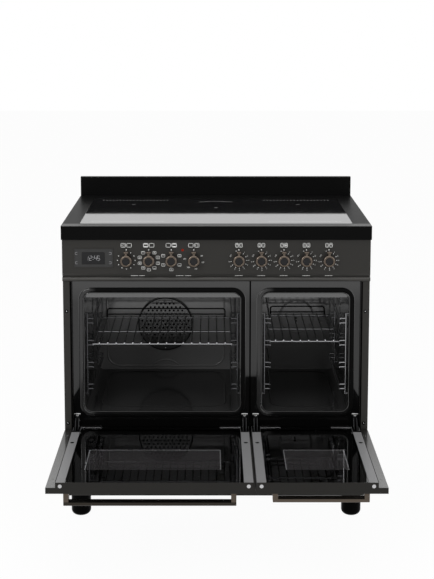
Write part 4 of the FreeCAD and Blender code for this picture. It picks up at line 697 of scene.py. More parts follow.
# %% Plan a ring of marks
def plan_dial():
    plan = Plan("dial_marks", {"Count": "Int", "First angle": "Float", "Step angle": "Float", "Radius": "Float",
                               "Width": "Float", "Length": "Float", "Middle": "Vector", "Finish": "Material"})
    index = plan.node("GeometryNodeInputIndex")
    angle = plan["First angle"] + index * plan["Step angle"]
    out = plan.xyz(X=plan.maths("SINE", angle) * plan["Radius"], Z=plan.maths("COSINE", angle) * plan["Radius"])
    place = plan.node("ShaderNodeVectorMath", {"operation": "ADD"}, {0: out, 1: plan["Middle"]})
    points = plan.node("GeometryNodeMeshLine", {"mode": "OFFSET"}, {"Count": plan["Count"]})
    points = plan.node("GeometryNodeSetPosition", {}, {"Geometry": points, "Position": place})
    size = plan.xyz(X=plan["Width"], Y=0.2 * mm, Z=plan["Length"])
    mark = plan.node("GeometryNodeMeshCube", {}, {"Size": size})
    turn = plan.xyz(Y=angle)
    copies = plan.node("GeometryNodeInstanceOnPoints", {}, {"Points": points, "Instance": mark, "Rotation": turn})
    plan.close(copies)
    return plan


dial = plan_dial()


def dial_ring(x, count, first, step, radius, width, length):
    return grow(dial, {"Count": count, "First angle": radians(first), "Step angle": radians(step), "Radius": radius,
                       "Width": width, "Length": length, "Middle": (x, panel_front, knob_height), "Finish": ink})


ring_marks = [dial_ring(knob_places[0], 10, 30, 30, 25.5 * mm, 2.3 * mm, 2.3 * mm)]
for x in knob_places[4:]:
    ring_marks.append(dial_ring(x, 9, 34, 28.3, 23.0 * mm, 1.3 * mm, 3.4 * mm))
for x in knob_places:
    ring_marks.append(dial_ring(x, 1, 0, 0, 30.6 * mm, 2.8 * mm, 2.8 * mm))
add_piece("dial_marks", ring_marks, ink, "frame", smooth=0)
print("dial marks", sum(len(m.vertices) for m in ring_marks) // 8)

# %% [markdown]
# ## Numbers and pictograms
#
# The numbers on the hob dials run from 1 to 9, and the right oven's dial has its degrees. They are text
# turned into flat meshes. The pictograms are rounded boxes with bars, rings and waves inside, drawn
# with short strokes in the same ink. Words on the panel are left as plain dashes.

# %% Print with strokes and numbers
def slab(build, under, over):
    """A thin slab between two rings of four points."""
    under, over = [build.verts.new(point) for point in under], [build.verts.new(point) for point in over]
    for i in range(4):
        j = (i + 1) % 4
        build.faces.new((under[i], under[j], over[j], over[i]))
    build.faces.new(over)
    build.faces.new(under[::-1])


def stroke(build, x0, z0, x1, z1, width, face=panel_front):
    """A thin straight line of ink on the panel."""
    run = Vector((x1 - x0, 0, z1 - z0))
    side = Vector((-run.z, 0, run.x)).normalized() * width / 2
    end = run.normalized() * width / 2
    a, b = Vector((x0, face, z0)) - end, Vector((x1, face, z1)) + end
    lift = Vector((0, -0.12 * mm, 0))
    ring = [a + side, b + side, b - side, a - side]
    slab(build, [p - lift * 0.5 for p in ring], [p + lift for p in ring])


def frame_box(build, x, z, wide, tall, width):
    """An outlined box of four strokes with slanted corners, so that it looks rounded."""
    cut = width * 0.9
    w, h = wide / 2, tall / 2
    for way in (1, -1):
        stroke(build, x - w + cut, z + way * h, x + w - cut, z + way * h, width)
    for way in (-1, 1):
        stroke(build, x + way * w, z - h + cut, x + way * w, z + h - cut, width)
    for sx in (-1, 1):
        for sz in (-1, 1):
            stroke(build, x + sx * w, z + sz * (h - cut), x + sx * (w - cut), z + sz * h, width)


def loop(build, x, z, radius, width, steps=8):
    points = [around(x, z, radius, 360 * i / steps) for i in range(steps)]
    for i in range(steps):
        stroke(build, *points[i], *points[(i + 1) % steps], width)


def number_mesh(text, x, z, tall):
    """A number as a thin flat mesh on the panel, centred on a point."""
    writing = bpy.data.curves.new("writing", "FONT")
    writing.body, writing.size = text, tall * 1.38
    writing.align_x, writing.align_y = "CENTER", "CENTER"
    writing.extrude, writing.resolution_u = 0.06 * mm, 3
    holder = bpy.data.objects.new("writing", writing)
    scene.collection.objects.link(holder)
    bpy.context.view_layer.update()
    mesh = bpy.data.meshes.new_from_object(holder.evaluated_get(bpy.context.evaluated_depsgraph_get()))
    bpy.data.objects.remove(holder)
    mesh.transform(Matrix.Translation((x, panel_front - 0.05 * mm, z)) @ Matrix.Rotation(radians(90), 4, "X"))
    return mesh


numbers = []
for x in knob_places[4:]:
    for value in range(1, 10):
        place = around(x, knob_height, 28.6 * mm, 34 + 28.3 * (value - 1))
        numbers.append(number_mesh(str(value), *place, 3.6 * mm))
for value, degrees in ((50, 59), (100, 104), (150, 168), (200, 216), (250, 279)):
    x = around(knob_places[3], knob_height, 26.5 * mm, degrees)[0]
    z = around(knob_places[3], knob_height, 25.5 * mm, degrees)[1]
    numbers.append(number_mesh(str(value), x, z, 4.2 * mm))
add_piece("dial_numbers", numbers, ink, "frame", smooth=0)
print("numbers", len(numbers))

# %% Draw the oven pictograms
def bars(build, x, z, rows, wide=5.6 * mm, width=0.9 * mm):
    for row in rows:
        stroke(build, x - wide / 2, z + row, x + wide / 2, z + row, width)


def function_sign(build, x, z, kind):
    """One oven function in a box 10 mm wide: bars for heat from above or below, a ring for the fan."""
    frame_box(build, x, z, 9.8 * mm, 7.8 * mm, 1.05 * mm)
    if "t" in kind:
        bars(build, x, z, [2.0 * mm])
    if "b" in kind:
        bars(build, x, z, [-2.0 * mm])
    if "f" in kind:
        loop(build, x, z, 1.5 * mm, 0.7 * mm)
    if "x" in kind:
        stroke(build, x - 2.6 * mm, z - 2.2 * mm, x + 2.6 * mm, z + 2.2 * mm, 0.8 * mm)
        stroke(build, x - 2.6 * mm, z + 2.2 * mm, x + 2.6 * mm, z - 2.2 * mm, 0.8 * mm)
    if "d" in kind:
        stroke(build, x - 0.6 * mm, z, x + 0.6 * mm, z, 1.4 * mm)


signs = bmesh.new()
left_functions, right_functions = ("x", "f", "tb", "b", "d", "tf", "xf", "fb", "t"), ("tb", "b", "f", "d", "t")
for knob, kinds, radius, turn in ((1, left_functions, 27.5 * mm, 36), (2, right_functions, 27.0 * mm, 60)):
    for step, kind in enumerate(kinds, 1):
        function_sign(signs, *around(knob_places[knob], knob_height, radius, turn * step), kind)
print("function signs", len(left_functions + right_functions))

# %% [markdown]
# Above each knob a pair of boxes says what it works: the left or the right oven, or one of the five
# cooking zones. The active one of the pair is drawn bolder. Left-hand knobs have wide boxes, like oven
# doors, and the hob knobs have narrow ones with a dot for the zone.

# %% Draw the pairs of boxes
pair_height = 0.8377
for number, x in enumerate(knob_places[:4]):
    for side in (0, 1):
        bx = x + (side - 0.5) * 17.0 * mm
        its_oven = side == (0 if number < 2 else 1)
        bold = its_oven and number in (1, 2)
        frame_box(signs, bx, pair_height, 13.2 * mm, 11.0 * mm, 1.6 * mm if bold else 1.25 * mm)
        if bold:
            bars(signs, bx, pair_height, [3.7 * mm, -3.7 * mm], 10.5 * mm, 2.3 * mm)
        elif its_oven:
            bars(signs, bx + 2.4 * mm, pair_height, [2.0 * mm, -2.0 * mm], 3.0 * mm, 1.0 * mm)
            left = bx - 3.2 * mm
            stroke(signs, left, pair_height - 2.4 * mm, left, pair_height + 2.4 * mm, 1.0 * mm)
for zone, x in enumerate(knob_places[4:]):
    dot = pair_height + (2.8, -2.8, 0.0, -2.8, 2.8)[zone] * mm
    for side in (0, 1):
        bx = x + (side - 0.5) * 11.0 * mm
        frame_box(signs, bx, pair_height, 8.4 * mm, 11.6 * mm, 1.4 * mm)
        for dz in (-2.8 * mm, 2.8 * mm):
            loop(signs, bx, pair_height + dz, 1.5 * mm, 0.8 * mm)
        if (zone in (0, 1)) == (side == 0):
            stroke(signs, bx - 0.9 * mm, dot, bx + 0.9 * mm, dot, 2.8 * mm)
for x in knob_places[4:]:
    for degrees in (296, 304):
        loop(signs, *around(x, knob_height, 27.2 * mm, degrees), 1.7 * mm, 0.9 * mm)
    bx, bz = around(x, knob_height, 28.2 * mm, 344)
    stroke(signs, bx - 1.2 * mm, bz, bx + 1.2 * mm, bz, 1.1 * mm)
add_piece("panel_pictograms", signs, ink, "frame", smooth=0)
print("pictograms drawn")

# %% [markdown]
# ## Dashes on the cove
#
# The hollow under the panel carries a small caption below each group of knobs. The captions are left
# out, and a short row of dashes keeps their place.

# %% Print the caption dashes
cove_front = panel_front + 2.5 * mm
caption_height = worktop_top - 147.0 * mm


def plan_dashes():
    plan = Plan("caption_dashes", {"Count": "Int", "First": "Vector", "Step": "Float", "Size": "Vector",
                                   "Finish": "Material"})
    line = plan.node("GeometryNodeMeshLine", {"mode": "OFFSET"}, {
        "Count": plan["Count"], "Start Location": plan["First"], "Offset": plan.xyz(X=plan["Step"])})
    dash = plan.node("GeometryNodeMeshCube", {}, {"Size": plan["Size"]})
    plan.close(plan.node("GeometryNodeInstanceOnPoints", {}, {"Points": line, "Instance": dash}))
    return plan


dashes = plan_dashes()
rows = [(-245.0, 5, 4.1), (-221.0, 4, 4.1), (-115.0, 5, 4.4), (-88.0, 4, 4.4)] + \
       [(x / mm - 9.0, 5, 4.5) for x in knob_places[4:]]
caption_rows = [grow(dashes, {"Count": count, "First": (x * mm, cove_front, caption_height), "Step": step * mm,
                              "Size": (3.0 * mm, 1.4 * mm, 1.2 * mm), "Finish": ink}) for x, count, step in rows]
add_piece("caption_dashes", caption_rows, ink, "frame", smooth=0)
print("captions", len(caption_rows))

# %% [markdown]
# ## Clock
#
# The display is a grey glass with a darker screen in its middle. The clock shows 12:45 in seven-segment
# figures, each segment a thin slanted bar, and four touch marks like square brackets stand at the
# corners.

# %% Light the clock
glass_front = low("display_window").y
screen_front = glass_front - 0.15 * mm
screen_x, screen_z = -0.3550, worktop_top - 95.0 * mm
SEGMENTS = {"1": "bc", "2": "abged", "4": "fgbc", "5": "afgcd"}


def segment_figure(build, figure, x, z, wide, tall, width):
    lean = 0.10
    w, h = wide / 2, tall / 2
    ends = {"a": (-w, h, w, h), "b": (w, h, w, 0), "c": (w, 0, w, -h), "d": (-w, -h, w, -h), "e": (-w, -h, -w, 0),
            "f": (-w, 0, -w, h), "g": (-w, 0, w, 0)}
    for name in SEGMENTS[figure]:
        x0, z0, x1, z1 = ends[name]
        inset = 0.12 * (abs(x1 - x0) + abs(z1 - z0))
        ux, uz = (1, 0) if x1 != x0 else (0, -1)
        x0, x1, z0, z1 = x0 + ux * inset, x1 - ux * inset, z0 + uz * inset, z1 - uz * inset
        stroke(build, x + x0 + lean * z0, z + z0, x + x1 + lean * z1, z + z1, width, screen_front)


clock = bmesh.new()
for figure, dx in (("1", -18.2), ("2", -7.6), ("4", 6.4), ("5", 15.2)):
    segment_figure(clock, figure, screen_x + dx * mm, screen_z, 6.6 * mm, 13.0 * mm, 0.6 * mm)
colon = screen_x - 1.0 * mm, screen_x - 0.5 * mm
for z in (screen_z - 2.6 * mm, screen_z + 2.6 * mm):
    stroke(clock, colon[0], z, colon[1], z, 1.1 * mm, screen_front)
add_piece("clock_figures", clock, clock_light, "frame", smooth=0)

screen = bmesh.new()
rounded_block(screen, (screen_x - 33.4 * mm, screen_front, screen_z - 18.0 * mm),
              (screen_x + 33.4 * mm, glass_front + 0.3 * mm, screen_z + 18.0 * mm), 0.2 * mm)
add_piece("clock_screen", screen, screen_glass, "frame")

touch = bmesh.new()
for x in (-0.4040, -0.3062):
    for z in (worktop_top - 81.0 * mm, worktop_top - 108.5 * mm):
        turn = 1 if x < screen_x else -1
        stroke(touch, x - turn * 3.0 * mm, z - 3.2 * mm, x - turn * 3.0 * mm, z + 3.2 * mm, 1.1 * mm, glass_front)
        for end in (-3.2, 3.2):
            stroke(touch, x - turn * 3.0 * mm, z + end * mm, x + turn * 2.6 * mm, z + end * mm, 1.1 * mm, glass_front)
add_piece("touch_marks", touch, touch_ink, "frame", smooth=0)
print("clock 12:45 at", round(screen_x, 4), round(screen_z, 4))

# %% [markdown]
# The frame round the display is a slim raised border. A second border closes the darker screen area,
# so that the clock seems to lie a little deeper.

# %% Frame the display
def border(build, x0, x1, z0, z1, width, y_front, y_back, radius):
    """A flat frame with round corners, standing from y_back to y_front."""
    rings = []
    for spread, y in ((0.0, y_back), (0.0, y_front), (-width, y_front), (-width, y_back)):
        outline = round_outline(x0 - spread, x1 + spread, z0 - spread, z1 + spread, radius + spread, 4)
        rings.append([build.verts.new((x, y, z)) for x, z in outline])
    rings.append(rings[0])
    for a, b in zip(rings, rings[1:]):
        for i in range(len(a)):
            j = (i + 1) % len(a)
            build.faces.new((a[i], b[i], b[j], a[j]))
    bmesh.ops.recalc_face_normals(build, faces=build.faces)


display_frame = bmesh.new()
window_low, window_high, rim = *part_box("display_window"), 1.0 * mm
border(display_frame, window_low.x - rim, window_high.x + rim, window_low.z - rim, window_high.z + rim, 2.4 * mm,
       glass_front - 0.5 * mm, panel_front + 0.1 * mm, 3.5 * mm)
border(display_frame, screen_x - 34.0 * mm, screen_x + 34.0 * mm, screen_z - 18.5 * mm, screen_z + 18.5 * mm,
       0.9 * mm, glass_front - 0.15 * mm, glass_front + 0.1 * mm, 1.5 * mm)
add_piece("display_frame", display_frame, anthracite, "frame")
print("display framed")

# %% [markdown]
# ## Hob marks
#
# The cooking zones are printed on the glass as rows of short dashes at the front and the back, a small
# mark in the middle of each zone and two arcs for the round middle zone. A row repeats, so a tree sets
# a flat disc, stretched to a dash, at every step of a line.

# %% Print the zones on the hob
def plan_dots():
    plan = Plan("zone_dots", {"Count": "Int", "First": "Vector", "Step": "Vector", "Dot radius": "Float",
                              "Stretch": "Vector", "Finish": "Material"})
    line = plan.node("GeometryNodeMeshLine", {"mode": "OFFSET"},
                     {"Count": plan["Count"], "Start Location": plan["First"], "Offset": plan["Step"]})
    dot = plan.node("GeometryNodeMeshCylinder", {"fill_type": "NGON"},
                    {"Vertices": 10, "Radius": plan["Dot radius"], "Depth": 0.2 * mm})
    copies = {"Points": line, "Instance": dot, "Scale": plan["Stretch"]}
    plan.close(plan.node("GeometryNodeInstanceOnPoints", {}, copies))
    return plan


dots = plan_dots()
dots_in_row = 20
zone_rows = []
for x0, x1 in ((-0.363, -0.156), (0.156, 0.363)):
    for back in (0.080, 0.4756):
        zone_rows.append(grow(dots, {
            "Count": dots_in_row, "First": (x0, worktop_front + back, hob_top), "Dot radius": 2.1 * mm,
            "Stretch": (1.0, 3.2, 1.0), "Step": ((x1 - x0) / (dots_in_row - 1), 0.0, 0.0), "Finish": glass_ink}))


def flat_line(build, points, width):
    """A thin printed line through points on the hob glass."""
    for (xa, ya), (xb, yb) in zip(points, points[1:]):
        run = Vector((xb - xa, yb - ya, 0)).normalized()
        side = Vector((-run.y, run.x, 0)) * width / 2
        a, b = Vector((xa, ya, 0)), Vector((xb, yb, 0))
        ring = [a + side, a - side, b - side, b + side]
        slab(build, [(p.x, p.y, hob_top - 0.05 * mm) for p in ring], [(p.x, p.y, hob_top + 0.1 * mm) for p in ring])


zones = bmesh.new()
for x, back in ((-0.26, 0.181), (-0.26, 0.385), (0.26, 0.181), (0.26, 0.385), (0.0, 0.327)):
    y = worktop_front + back
    flat_line(zones, [(x - 5 * mm, y + 8 * mm), (x, y), (x + 5 * mm, y + 8 * mm)], 2.6 * mm)
ring_middle, ring_radius = worktop_front + 0.334, 0.12
for way, reach in ((1, 26), (-1, 14)):
    arc = [(ring_radius * sin(radians(a)), ring_middle + way * ring_radius * cos(radians(a)))
           for a in range(-reach, reach + 1, 2)]
    flat_line(zones, arc, 3.0 * mm)
add_piece("hob_marks", zone_rows + [plain(zones, "zones")], glass_ink, "frame", smooth=0)
print("zone dots", len(zone_rows) * dots_in_row)

# %% [markdown]
# ## Pressed beads and seals that follow an outline
#
# Much of the cooker is a round-cornered outline with something running along it: the silicone in the
# gap round the hob glass, the shiny rolled lip at each oven opening, the bead pressed into the oven
# walls. One tree serves them all. It takes a closed line of points, makes it a curve and sweeps a
# round section along it.

# %% Plan a round bead along a line
def plan_bead():
    plan = Plan("bead", {"Thickness": "Float", "Sides": "Int", "Finish": "Material"})
    path = plan.node("GeometryNodeMeshToCurve", {}, {"Mesh": plan["Start"]})
    section = plan.node("GeometryNodeCurvePrimitiveCircle", {"mode": "RADIUS"},
                        {"Resolution": plan["Sides"], "Radius": plan["Thickness"]})
    plan.close(plan.node("GeometryNodeCurveToMesh", {}, {"Curve": path, "Profile Curve": section, "Fill Caps": True}))
    return plan


bead = plan_bead()


def path_mesh(points, closed=True):
    mesh = bpy.data.meshes.new("path")
    count = len(points)
    edges = [(i, (i + 1) % count) for i in range(count if closed else count - 1)]
    mesh.from_pydata(points, edges, [])
    return mesh


def bead_along(points, thickness, material, sides=8, closed=True):
    mesh = grow(bead, {"Thickness": thickness, "Sides": sides, "Finish": material}, path_mesh(points, closed))
    build = bmesh.new()
    build.from_mesh(mesh)
    bmesh.ops.recalc_face_normals(build, faces=build.faces)
    build.to_mesh(mesh)
    build.free()
    return mesh


hob_low, hob_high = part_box("hob_glass")
gap = 0.6 * mm
gap_line = [(x, y, hob_top - 1.0 * mm) for x, y in round_outline(
    hob_low.x - gap, hob_high.x + gap, hob_low.y - gap, hob_high.y + gap, 8.6 * mm)]
add_piece("hob_silicone", bead_along(gap_line, 0.95 * mm, silicone), silicone, "frame")
print("hob silicone laid")

# %% [markdown]
# ## Oven mouths
#
# The sheet at each oven opening is rolled over into a smooth bead. It catches the light as a thin
# bright line along the right and lower edges of the opening. The black seal lies round it.

# %% Roll the lips of the openings
openings = {"left": (-0.386, 0.070), "right": (0.134, 0.388)}
mouth_bottom, mouth_top = 0.3365, 0.6935
for side, (x0, x1) in openings.items():
    out = 0.6 * mm
    mouth = round_outline(x0 - out, x1 + out, mouth_bottom - out, mouth_top + out, 22.5 * mm, 10)
    line = [(x, plate_front - 0.4 * mm, z) for x, z in mouth]
    add_piece(f"mouth_lip_{side}", bead_along(line, 1.7 * mm, lip_enamel, 10), lip_enamel, "frame")
print("lips rolled")

# %% [markdown]
# ## Beads in the oven walls
#
# Large flat sheets rattle and warp when they are hot, so the back wall and the floor are stiffened by
# pressed outlines. Only a low swelling shows: the round section is sunk so deep that it stands out
# 1.2 mm. The right oven has a pressed ring where the left has its fan, with two small holes.

# %% Press the beads
wall = high("fan_cover").y


def sunk(proud, wide):
    """Radius and depth of a round section that shows as a bead of this width and height."""
    radius = (wide * wide / 4 + proud * proud) / (2 * proud)
    return radius, radius - proud


radius, depth = sunk(1.0 * mm, 6.0 * mm)
back_bottom, floor_front, floor_back = worktop_top - 0.547, plate_back + 0.045, wall - 0.030
on_walls = {"left": [round_outline(-0.354, 0.028, back_bottom, mouth_top - 0.012, 0.040, 10)],
            "right": [[around(0.264, 0.514, 0.054, a) for a in range(0, 360, 9)],
                      [around(0.345, 0.508, 0.009, a) for a in range(0, 360, 24)]]}
on_floors = {"left": round_outline(-0.345, 0.028, floor_front, floor_back, 0.045, 10),
             "right": round_outline(0.165, 0.357, floor_front, floor_back, 0.040, 10)}
for side, outlines in on_walls.items():
    lines = [[(x, wall + depth, z) for x, z in outline] for outline in outlines]
    lines.append([(x, y, mouth_bottom - depth) for x, y in on_floors[side]])
    meshes = [bead_along(line, radius, oven_enamel, 24) for line in lines]
    if side == "left":
        arc = [(fan_middle[0] + 0.055 * sin(radians(a)), wall + depth, back_bottom - 0.030 + 0.050 * cos(radians(a)))
               for a in range(-52, 53, 8)]
        meshes.append(bead_along(arc, radius, oven_enamel, 24, closed=False))
    add_piece(f"oven_beads_{side}", meshes, oven_enamel, "frame")
    print("beads", side, len(meshes))

# %% [markdown]
# ## Inner panes of the doors
#
# The inner pane of an oven door is printed black on its underside, with a clear place left for the
# window. A heat-reflecting film closes that place: it looks grey from above. A thin near-white line
# round three of its sides is a painted highlight on the window's edges. All of it is a few tenths of a
# millimetre thick and lies just under the pane. The rear edge of the pane sits in a black rubber strip,
# so that no light leaks out of the edge.

# %% Print the inner panes
window_near, window_far = -0.2725, -0.4235
window_sides = {"left": (-0.3530, 0.0114), "right": (0.1845, 0.3534)}


def sheet_block(build, x0, x1, y0, y1, z0, z1):
    """A thin sheet, with a trace of an edge so that it isn't a bare cube."""
    rounded_block(build, (x0, y0, z0), (x1, y1, z1), min(z1 - z0, y1 - y0, x1 - x0) * 0.2, 1)


for side, (w0, w1) in window_sides.items():
    body = f"door_{side}"
    pane_low, pane_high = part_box(f"door_inner_glass_{side}")
    ledge = 7.4 * mm
    x0, x1, y0, y1 = pane_low.x + ledge, pane_high.x - ledge, pane_low.y + 1.0 * mm, pane_high.y - 1.0 * mm
    z0, z1 = pane_low.z - 0.35 * mm, pane_low.z - 0.1 * mm
    build = bmesh.new()
    sheet_block(build, x0, x1, y0, window_far, z0, z1)
    sheet_block(build, x0, x1, window_near, y1, z0, z1)
    sheet_block(build, x0, w0, window_far, window_near, z0, z1)
    sheet_block(build, w1, x1, window_far, window_near, z0, z1)
    add_piece(f"pane_print_{side}", build, print_and_shade_black, body)
    build = bmesh.new()
    sheet_block(build, w0 + 0.1 * mm, w1 - 0.1 * mm, window_far + 0.1 * mm, window_near - 0.1 * mm, z0, z1)
    add_piece(f"heat_film_{side}", build, film, body)
    # Painted highlight: a near-white line along three edges of the window.
    build = bmesh.new()
    line = 2.4 * mm
    sheet_block(build, w0, w1, window_near - 1.5 * line, window_near, z1 + 0.01 * mm, z1 + 0.06 * mm)
    for x in (w0, w1 - line):
        sheet_block(build, x, x + line, window_far, window_near - 1.5 * line, z1 + 0.01 * mm, z1 + 0.06 * mm)
    add_piece(f"silver_line_{side}", build, silver_line, body)
    build = bmesh.new()
    rounded_block(build, (pane_low.x + 0.2 * mm, pane_high.y - 5.0 * mm, pane_low.z - 0.8 * mm),
                  (pane_high.x - 0.2 * mm, pane_high.y + 1.3 * mm, pane_high.z + 0.4 * mm), 0.35 * mm)
    add_piece(f"pane_strip_{side}", build, print_and_shade_black, body)
print("panes printed, window", round(window_near - window_far, 4), "deep")

# %% [markdown]
# ## Screws
#
# Screws with a small bright head hold the door rails, the stiles and the folds. Each head sits in a black
# ring, painted shade for its countersunk hole. A screw head is a ball pressed flat, and so is the ring
# round it, only flatter and black. One tree puts them on any list of places: it copies the ball to each
# point of the mesh that it starts from and turns it to face the right way.

# %% Plan the screw heads
def plan_heads():
    plan = Plan("screw_heads", {"Radius": "Float", "Flatness": "Float", "Turn": "Vector", "Finish": "Material"})
    ball = plan.node("GeometryNodeMeshUVSphere", {}, {"Segments": 14, "Rings": 8, "Radius": plan["Radius"]})
    squeeze = plan.node("ShaderNodeCombineXYZ", {}, {"X": 1.0, "Y": 1.0, "Z": plan["Flatness"]})
    plan.close(plan.node("GeometryNodeInstanceOnPoints", {}, {"Points": plan["Start"], "Instance": ball,
                                                              "Rotation": plan["Turn"], "Scale": squeeze}))
    return plan


heads = plan_heads()
FACING_UP, FACING_FRONT, FACING_SIDE = (0.0, 0.0, 0.0), (radians(90), 0.0, 0.0), (0.0, radians(90), 0.0)


def places(points):
    mesh = bpy.data.meshes.new("places")
    mesh.from_pydata(points, [], [])
    return mesh


def add_screws(name, points, turn, body, ring=3.8, head=2.3, flat=(0.12, 0.40)):
    """Black rings of painted shade with steel heads in them, at a list of places."""
    black = grow(heads, {"Radius": ring * mm, "Flatness": flat[0], "Turn": turn, "Finish": print_and_shade_black}, places(points))
    add_piece(f"{name}_rings", black, print_and_shade_black, body)
    sizes = {"Radius": head * mm, "Flatness": flat[1], "Turn": turn, "Finish": bright_steel}
    steel = grow(heads, sizes, places(points))
    add_piece(f"{name}_heads", steel, bright_steel, body)


half_rail, rail_screw_y, fold_top = 12.0 * mm, -0.2205, 0.2875
for side, fold_x in (("left", -0.4317), ("right", 0.4317)):
    rail_low, rail_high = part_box(f"door_rails_{side}")
    middles = rail_low.x + half_rail, rail_high.x - half_rail
    add_screws(f"rail_screws_{side}", [(x, rail_screw_y, rail_high.z) for x in middles], FACING_UP, f"door_{side}",
               ring=5.8, head=3.2, flat=(0.04, 0.10))
    add_screws(f"fold_screws_{side}", [(fold_x, y, fold_top) for y in (-0.1255, -0.4600)], FACING_UP, f"door_{side}",
               ring=2.4, head=1.4)
add_screws("stile_screws", [(x, stile_front, z) for x in (-0.4348, 0.4328) for z in (0.6424, 0.3060)], FACING_FRONT,
           "frame", ring=5.0, head=2.1)
cover_front = low("fan_cover").y
on_cover = [around(*fan_middle, 0.078, degrees) for degrees in (60, 180, 300)]
add_screws("fan_cover_screws", [(x, cover_front, z) for x, z in on_cover], FACING_FRONT, "frame", ring=2.4, head=1.6)
print("screws set")

# %% [markdown]
# ## Door rails and hinges
#
# A thin black strip of painted shade runs between each rail and the folded edge beside it, and thin
# black sheets darken the rails near their hinges. Strips of the same painted shade line the inner edges
# of the stiles and fill the gap between the two front plates. At the foot of the plates each hinge hook
# shows a bright bar with a small notch under it, drawn in near-white as painted highlights, and each
# hinge arm carries two rivets.

# %% Draw the painted shade strips and the hook highlights
hook_places = [-0.409, 0.0835, 0.1161, 0.409]
for side, x in (("left", low("door_rails_left").x), ("right", high("door_rails_right").x)):
    inward = 1 if side == "left" else -1
    rail_low, rail_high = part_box(f"door_rails_{side}")
    # Painted shade: a thin black strip in the shaded gap between the rail and the fold.
    seam = bmesh.new()
    a, b = sorted((x - inward * 0.4 * mm, x + inward * 1.1 * mm))
    rounded_block(seam, (a, -0.5195, rail_high.z - 0.7 * mm), (b, -0.0800, rail_high.z + 0.15 * mm), 0.15 * mm)
    add_piece(f"rail_seam_{side}", seam, print_and_shade_black, f"door_{side}")
    # Thin black sheets darken the rails near their hinges.
    covers = bmesh.new()
    hooks_here = hook_places[:2] if side == "left" else hook_places[2:]
    for edge, way, hook in zip((rail_low.x, rail_high.x), (1, -1), hooks_here):
        outer, inner, arm = edge + way * 0.2 * mm, edge + way * 24.2 * mm, way * 7.8 * mm
        for near, far, y0, y1 in ((outer, inner, -0.1325, -0.1236), (outer, hook - arm, -0.1237, -0.0770),
                                  (hook + arm, inner, -0.1237, -0.0770)):
            a, b = sorted((near, far))
            rounded_block(covers, (a, y0, rail_high.z - 0.1 * mm), (b, y1, rail_high.z + 0.3 * mm), 0.1 * mm, 1)
    add_piece(f"rail_covers_{side}", covers, print_and_shade_black, f"door_{side}")
# Painted shade: black strips along the inner edges of the stiles and in the gap between the front plates.
edges = bmesh.new()
for a, b, face, foot in ((-0.4252, -0.4208, stile_front, 0.2660), (0.4208, 0.4248, stile_front, 0.2660),
                         (0.0968, 0.1012, plate_front, 0.3320)):
    rounded_block(edges, (a, face - 0.25 * mm, foot), (b, face + 0.2 * mm, 0.7300), 0.1 * mm, 1)
add_piece("gap_shade_strips", edges, print_and_shade_black, "frame")
hook_front, bar_z, notch_top, notch_foot = low("hinge_receivers").y, 0.3298, 0.3262, 0.3228
# Painted highlights: near-white bars and notch strokes on the dark hook fronts stand for their glints.
hooks = bmesh.new()
for x in hook_places:
    stroke(hooks, x - 8.0 * mm, bar_z, x + 8.0 * mm, bar_z, 2.0 * mm, hook_front)
    for way in (-1, 1):
        stroke(hooks, x + way * 3.4 * mm, notch_top, x + way * 0.8 * mm, notch_foot, 1.0 * mm, hook_front)
add_piece("hinge_hooks", hooks, silver_line, "frame", smooth=0)
rivet_points = [(x + dx * mm, y, z) for x in hook_places for dx in (-6.0, 6.0)
                for y, z in ((-0.0560, 0.3105), (-0.0650, 0.2960))]
sizes = {"Radius": 1.8 * mm, "Flatness": 0.4, "Turn": FACING_SIDE, "Finish": bright_steel}
rivets = grow(heads, sizes, places(rivet_points))
add_piece("hinge_rivets", rivets, bright_steel, "frame")
print("hooks", len(hook_places), "rivets", len(rivet_points))

# %% [markdown]
# ## Ends of the shelf wires
#
# Each long wire of a shelf ends in front of the front rod, and its rounded tip wears a brighter chrome
# than the shelf, as a painted highlight. The tips sit at the same spacing as the wires, 24.6 mm apart
# and centred on the shelf.

# %% Round the wire tips
wire_spacing, wire_height = 24.6 * mm, 0.5417
for side, count in (("left", 16), ("right", 8)):
    shelf_low, shelf_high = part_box(f"shelf_{side}")
    first = (shelf_low.x + shelf_high.x) / 2 - (count - 1) / 2 * wire_spacing
    tips = [(first + i * wire_spacing, shelf_low.y + 1.6 * mm, wire_height) for i in range(count)]
    # Painted highlights: the tips take a brighter chrome than the wires they end.
    balls = grow(heads, {"Radius": 2.7 * mm, "Flatness": 1.0, "Turn": FACING_UP, "Finish": wire_tip}, places(tips))
    add_piece(f"wire_tips_{side}", balls, wire_tip, f"{side}_shelf")
print("tips on both shelves")

# %% [markdown]
# ## Small marks in the right oven
#
# Where the left oven has its fan, the back wall of the right oven has a pressed ring, drawn above, and
# two small holes under it for a probe. A hole this small is drawn as a black spot on the wall: painted
# shade for its dark inside.

# %% Drill the probe holes
# Painted shade: black spots stand for the dark inside of the two probe holes.
spots = grow(heads, {"Radius": 3.6 * mm, "Flatness": 0.10, "Turn": FACING_FRONT, "Finish": print_and_shade_black},
             places([(0.2617, wall, 0.5080), (0.2617, wall, 0.4986)]))
add_piece("probe_holes", spots, print_and_shade_black, "frame")
print("probe holes 2")

# %% [markdown]
# ## Back and sides
#
# The zinc back panel lets the warm air out through rows of pressed louvres, each a small hood over a
# slot. The slots are black blocks, painted shade for the dark openings under the hoods. A grid tree
# copies one hood to every place. Screws along the edges hold the back and the sides.

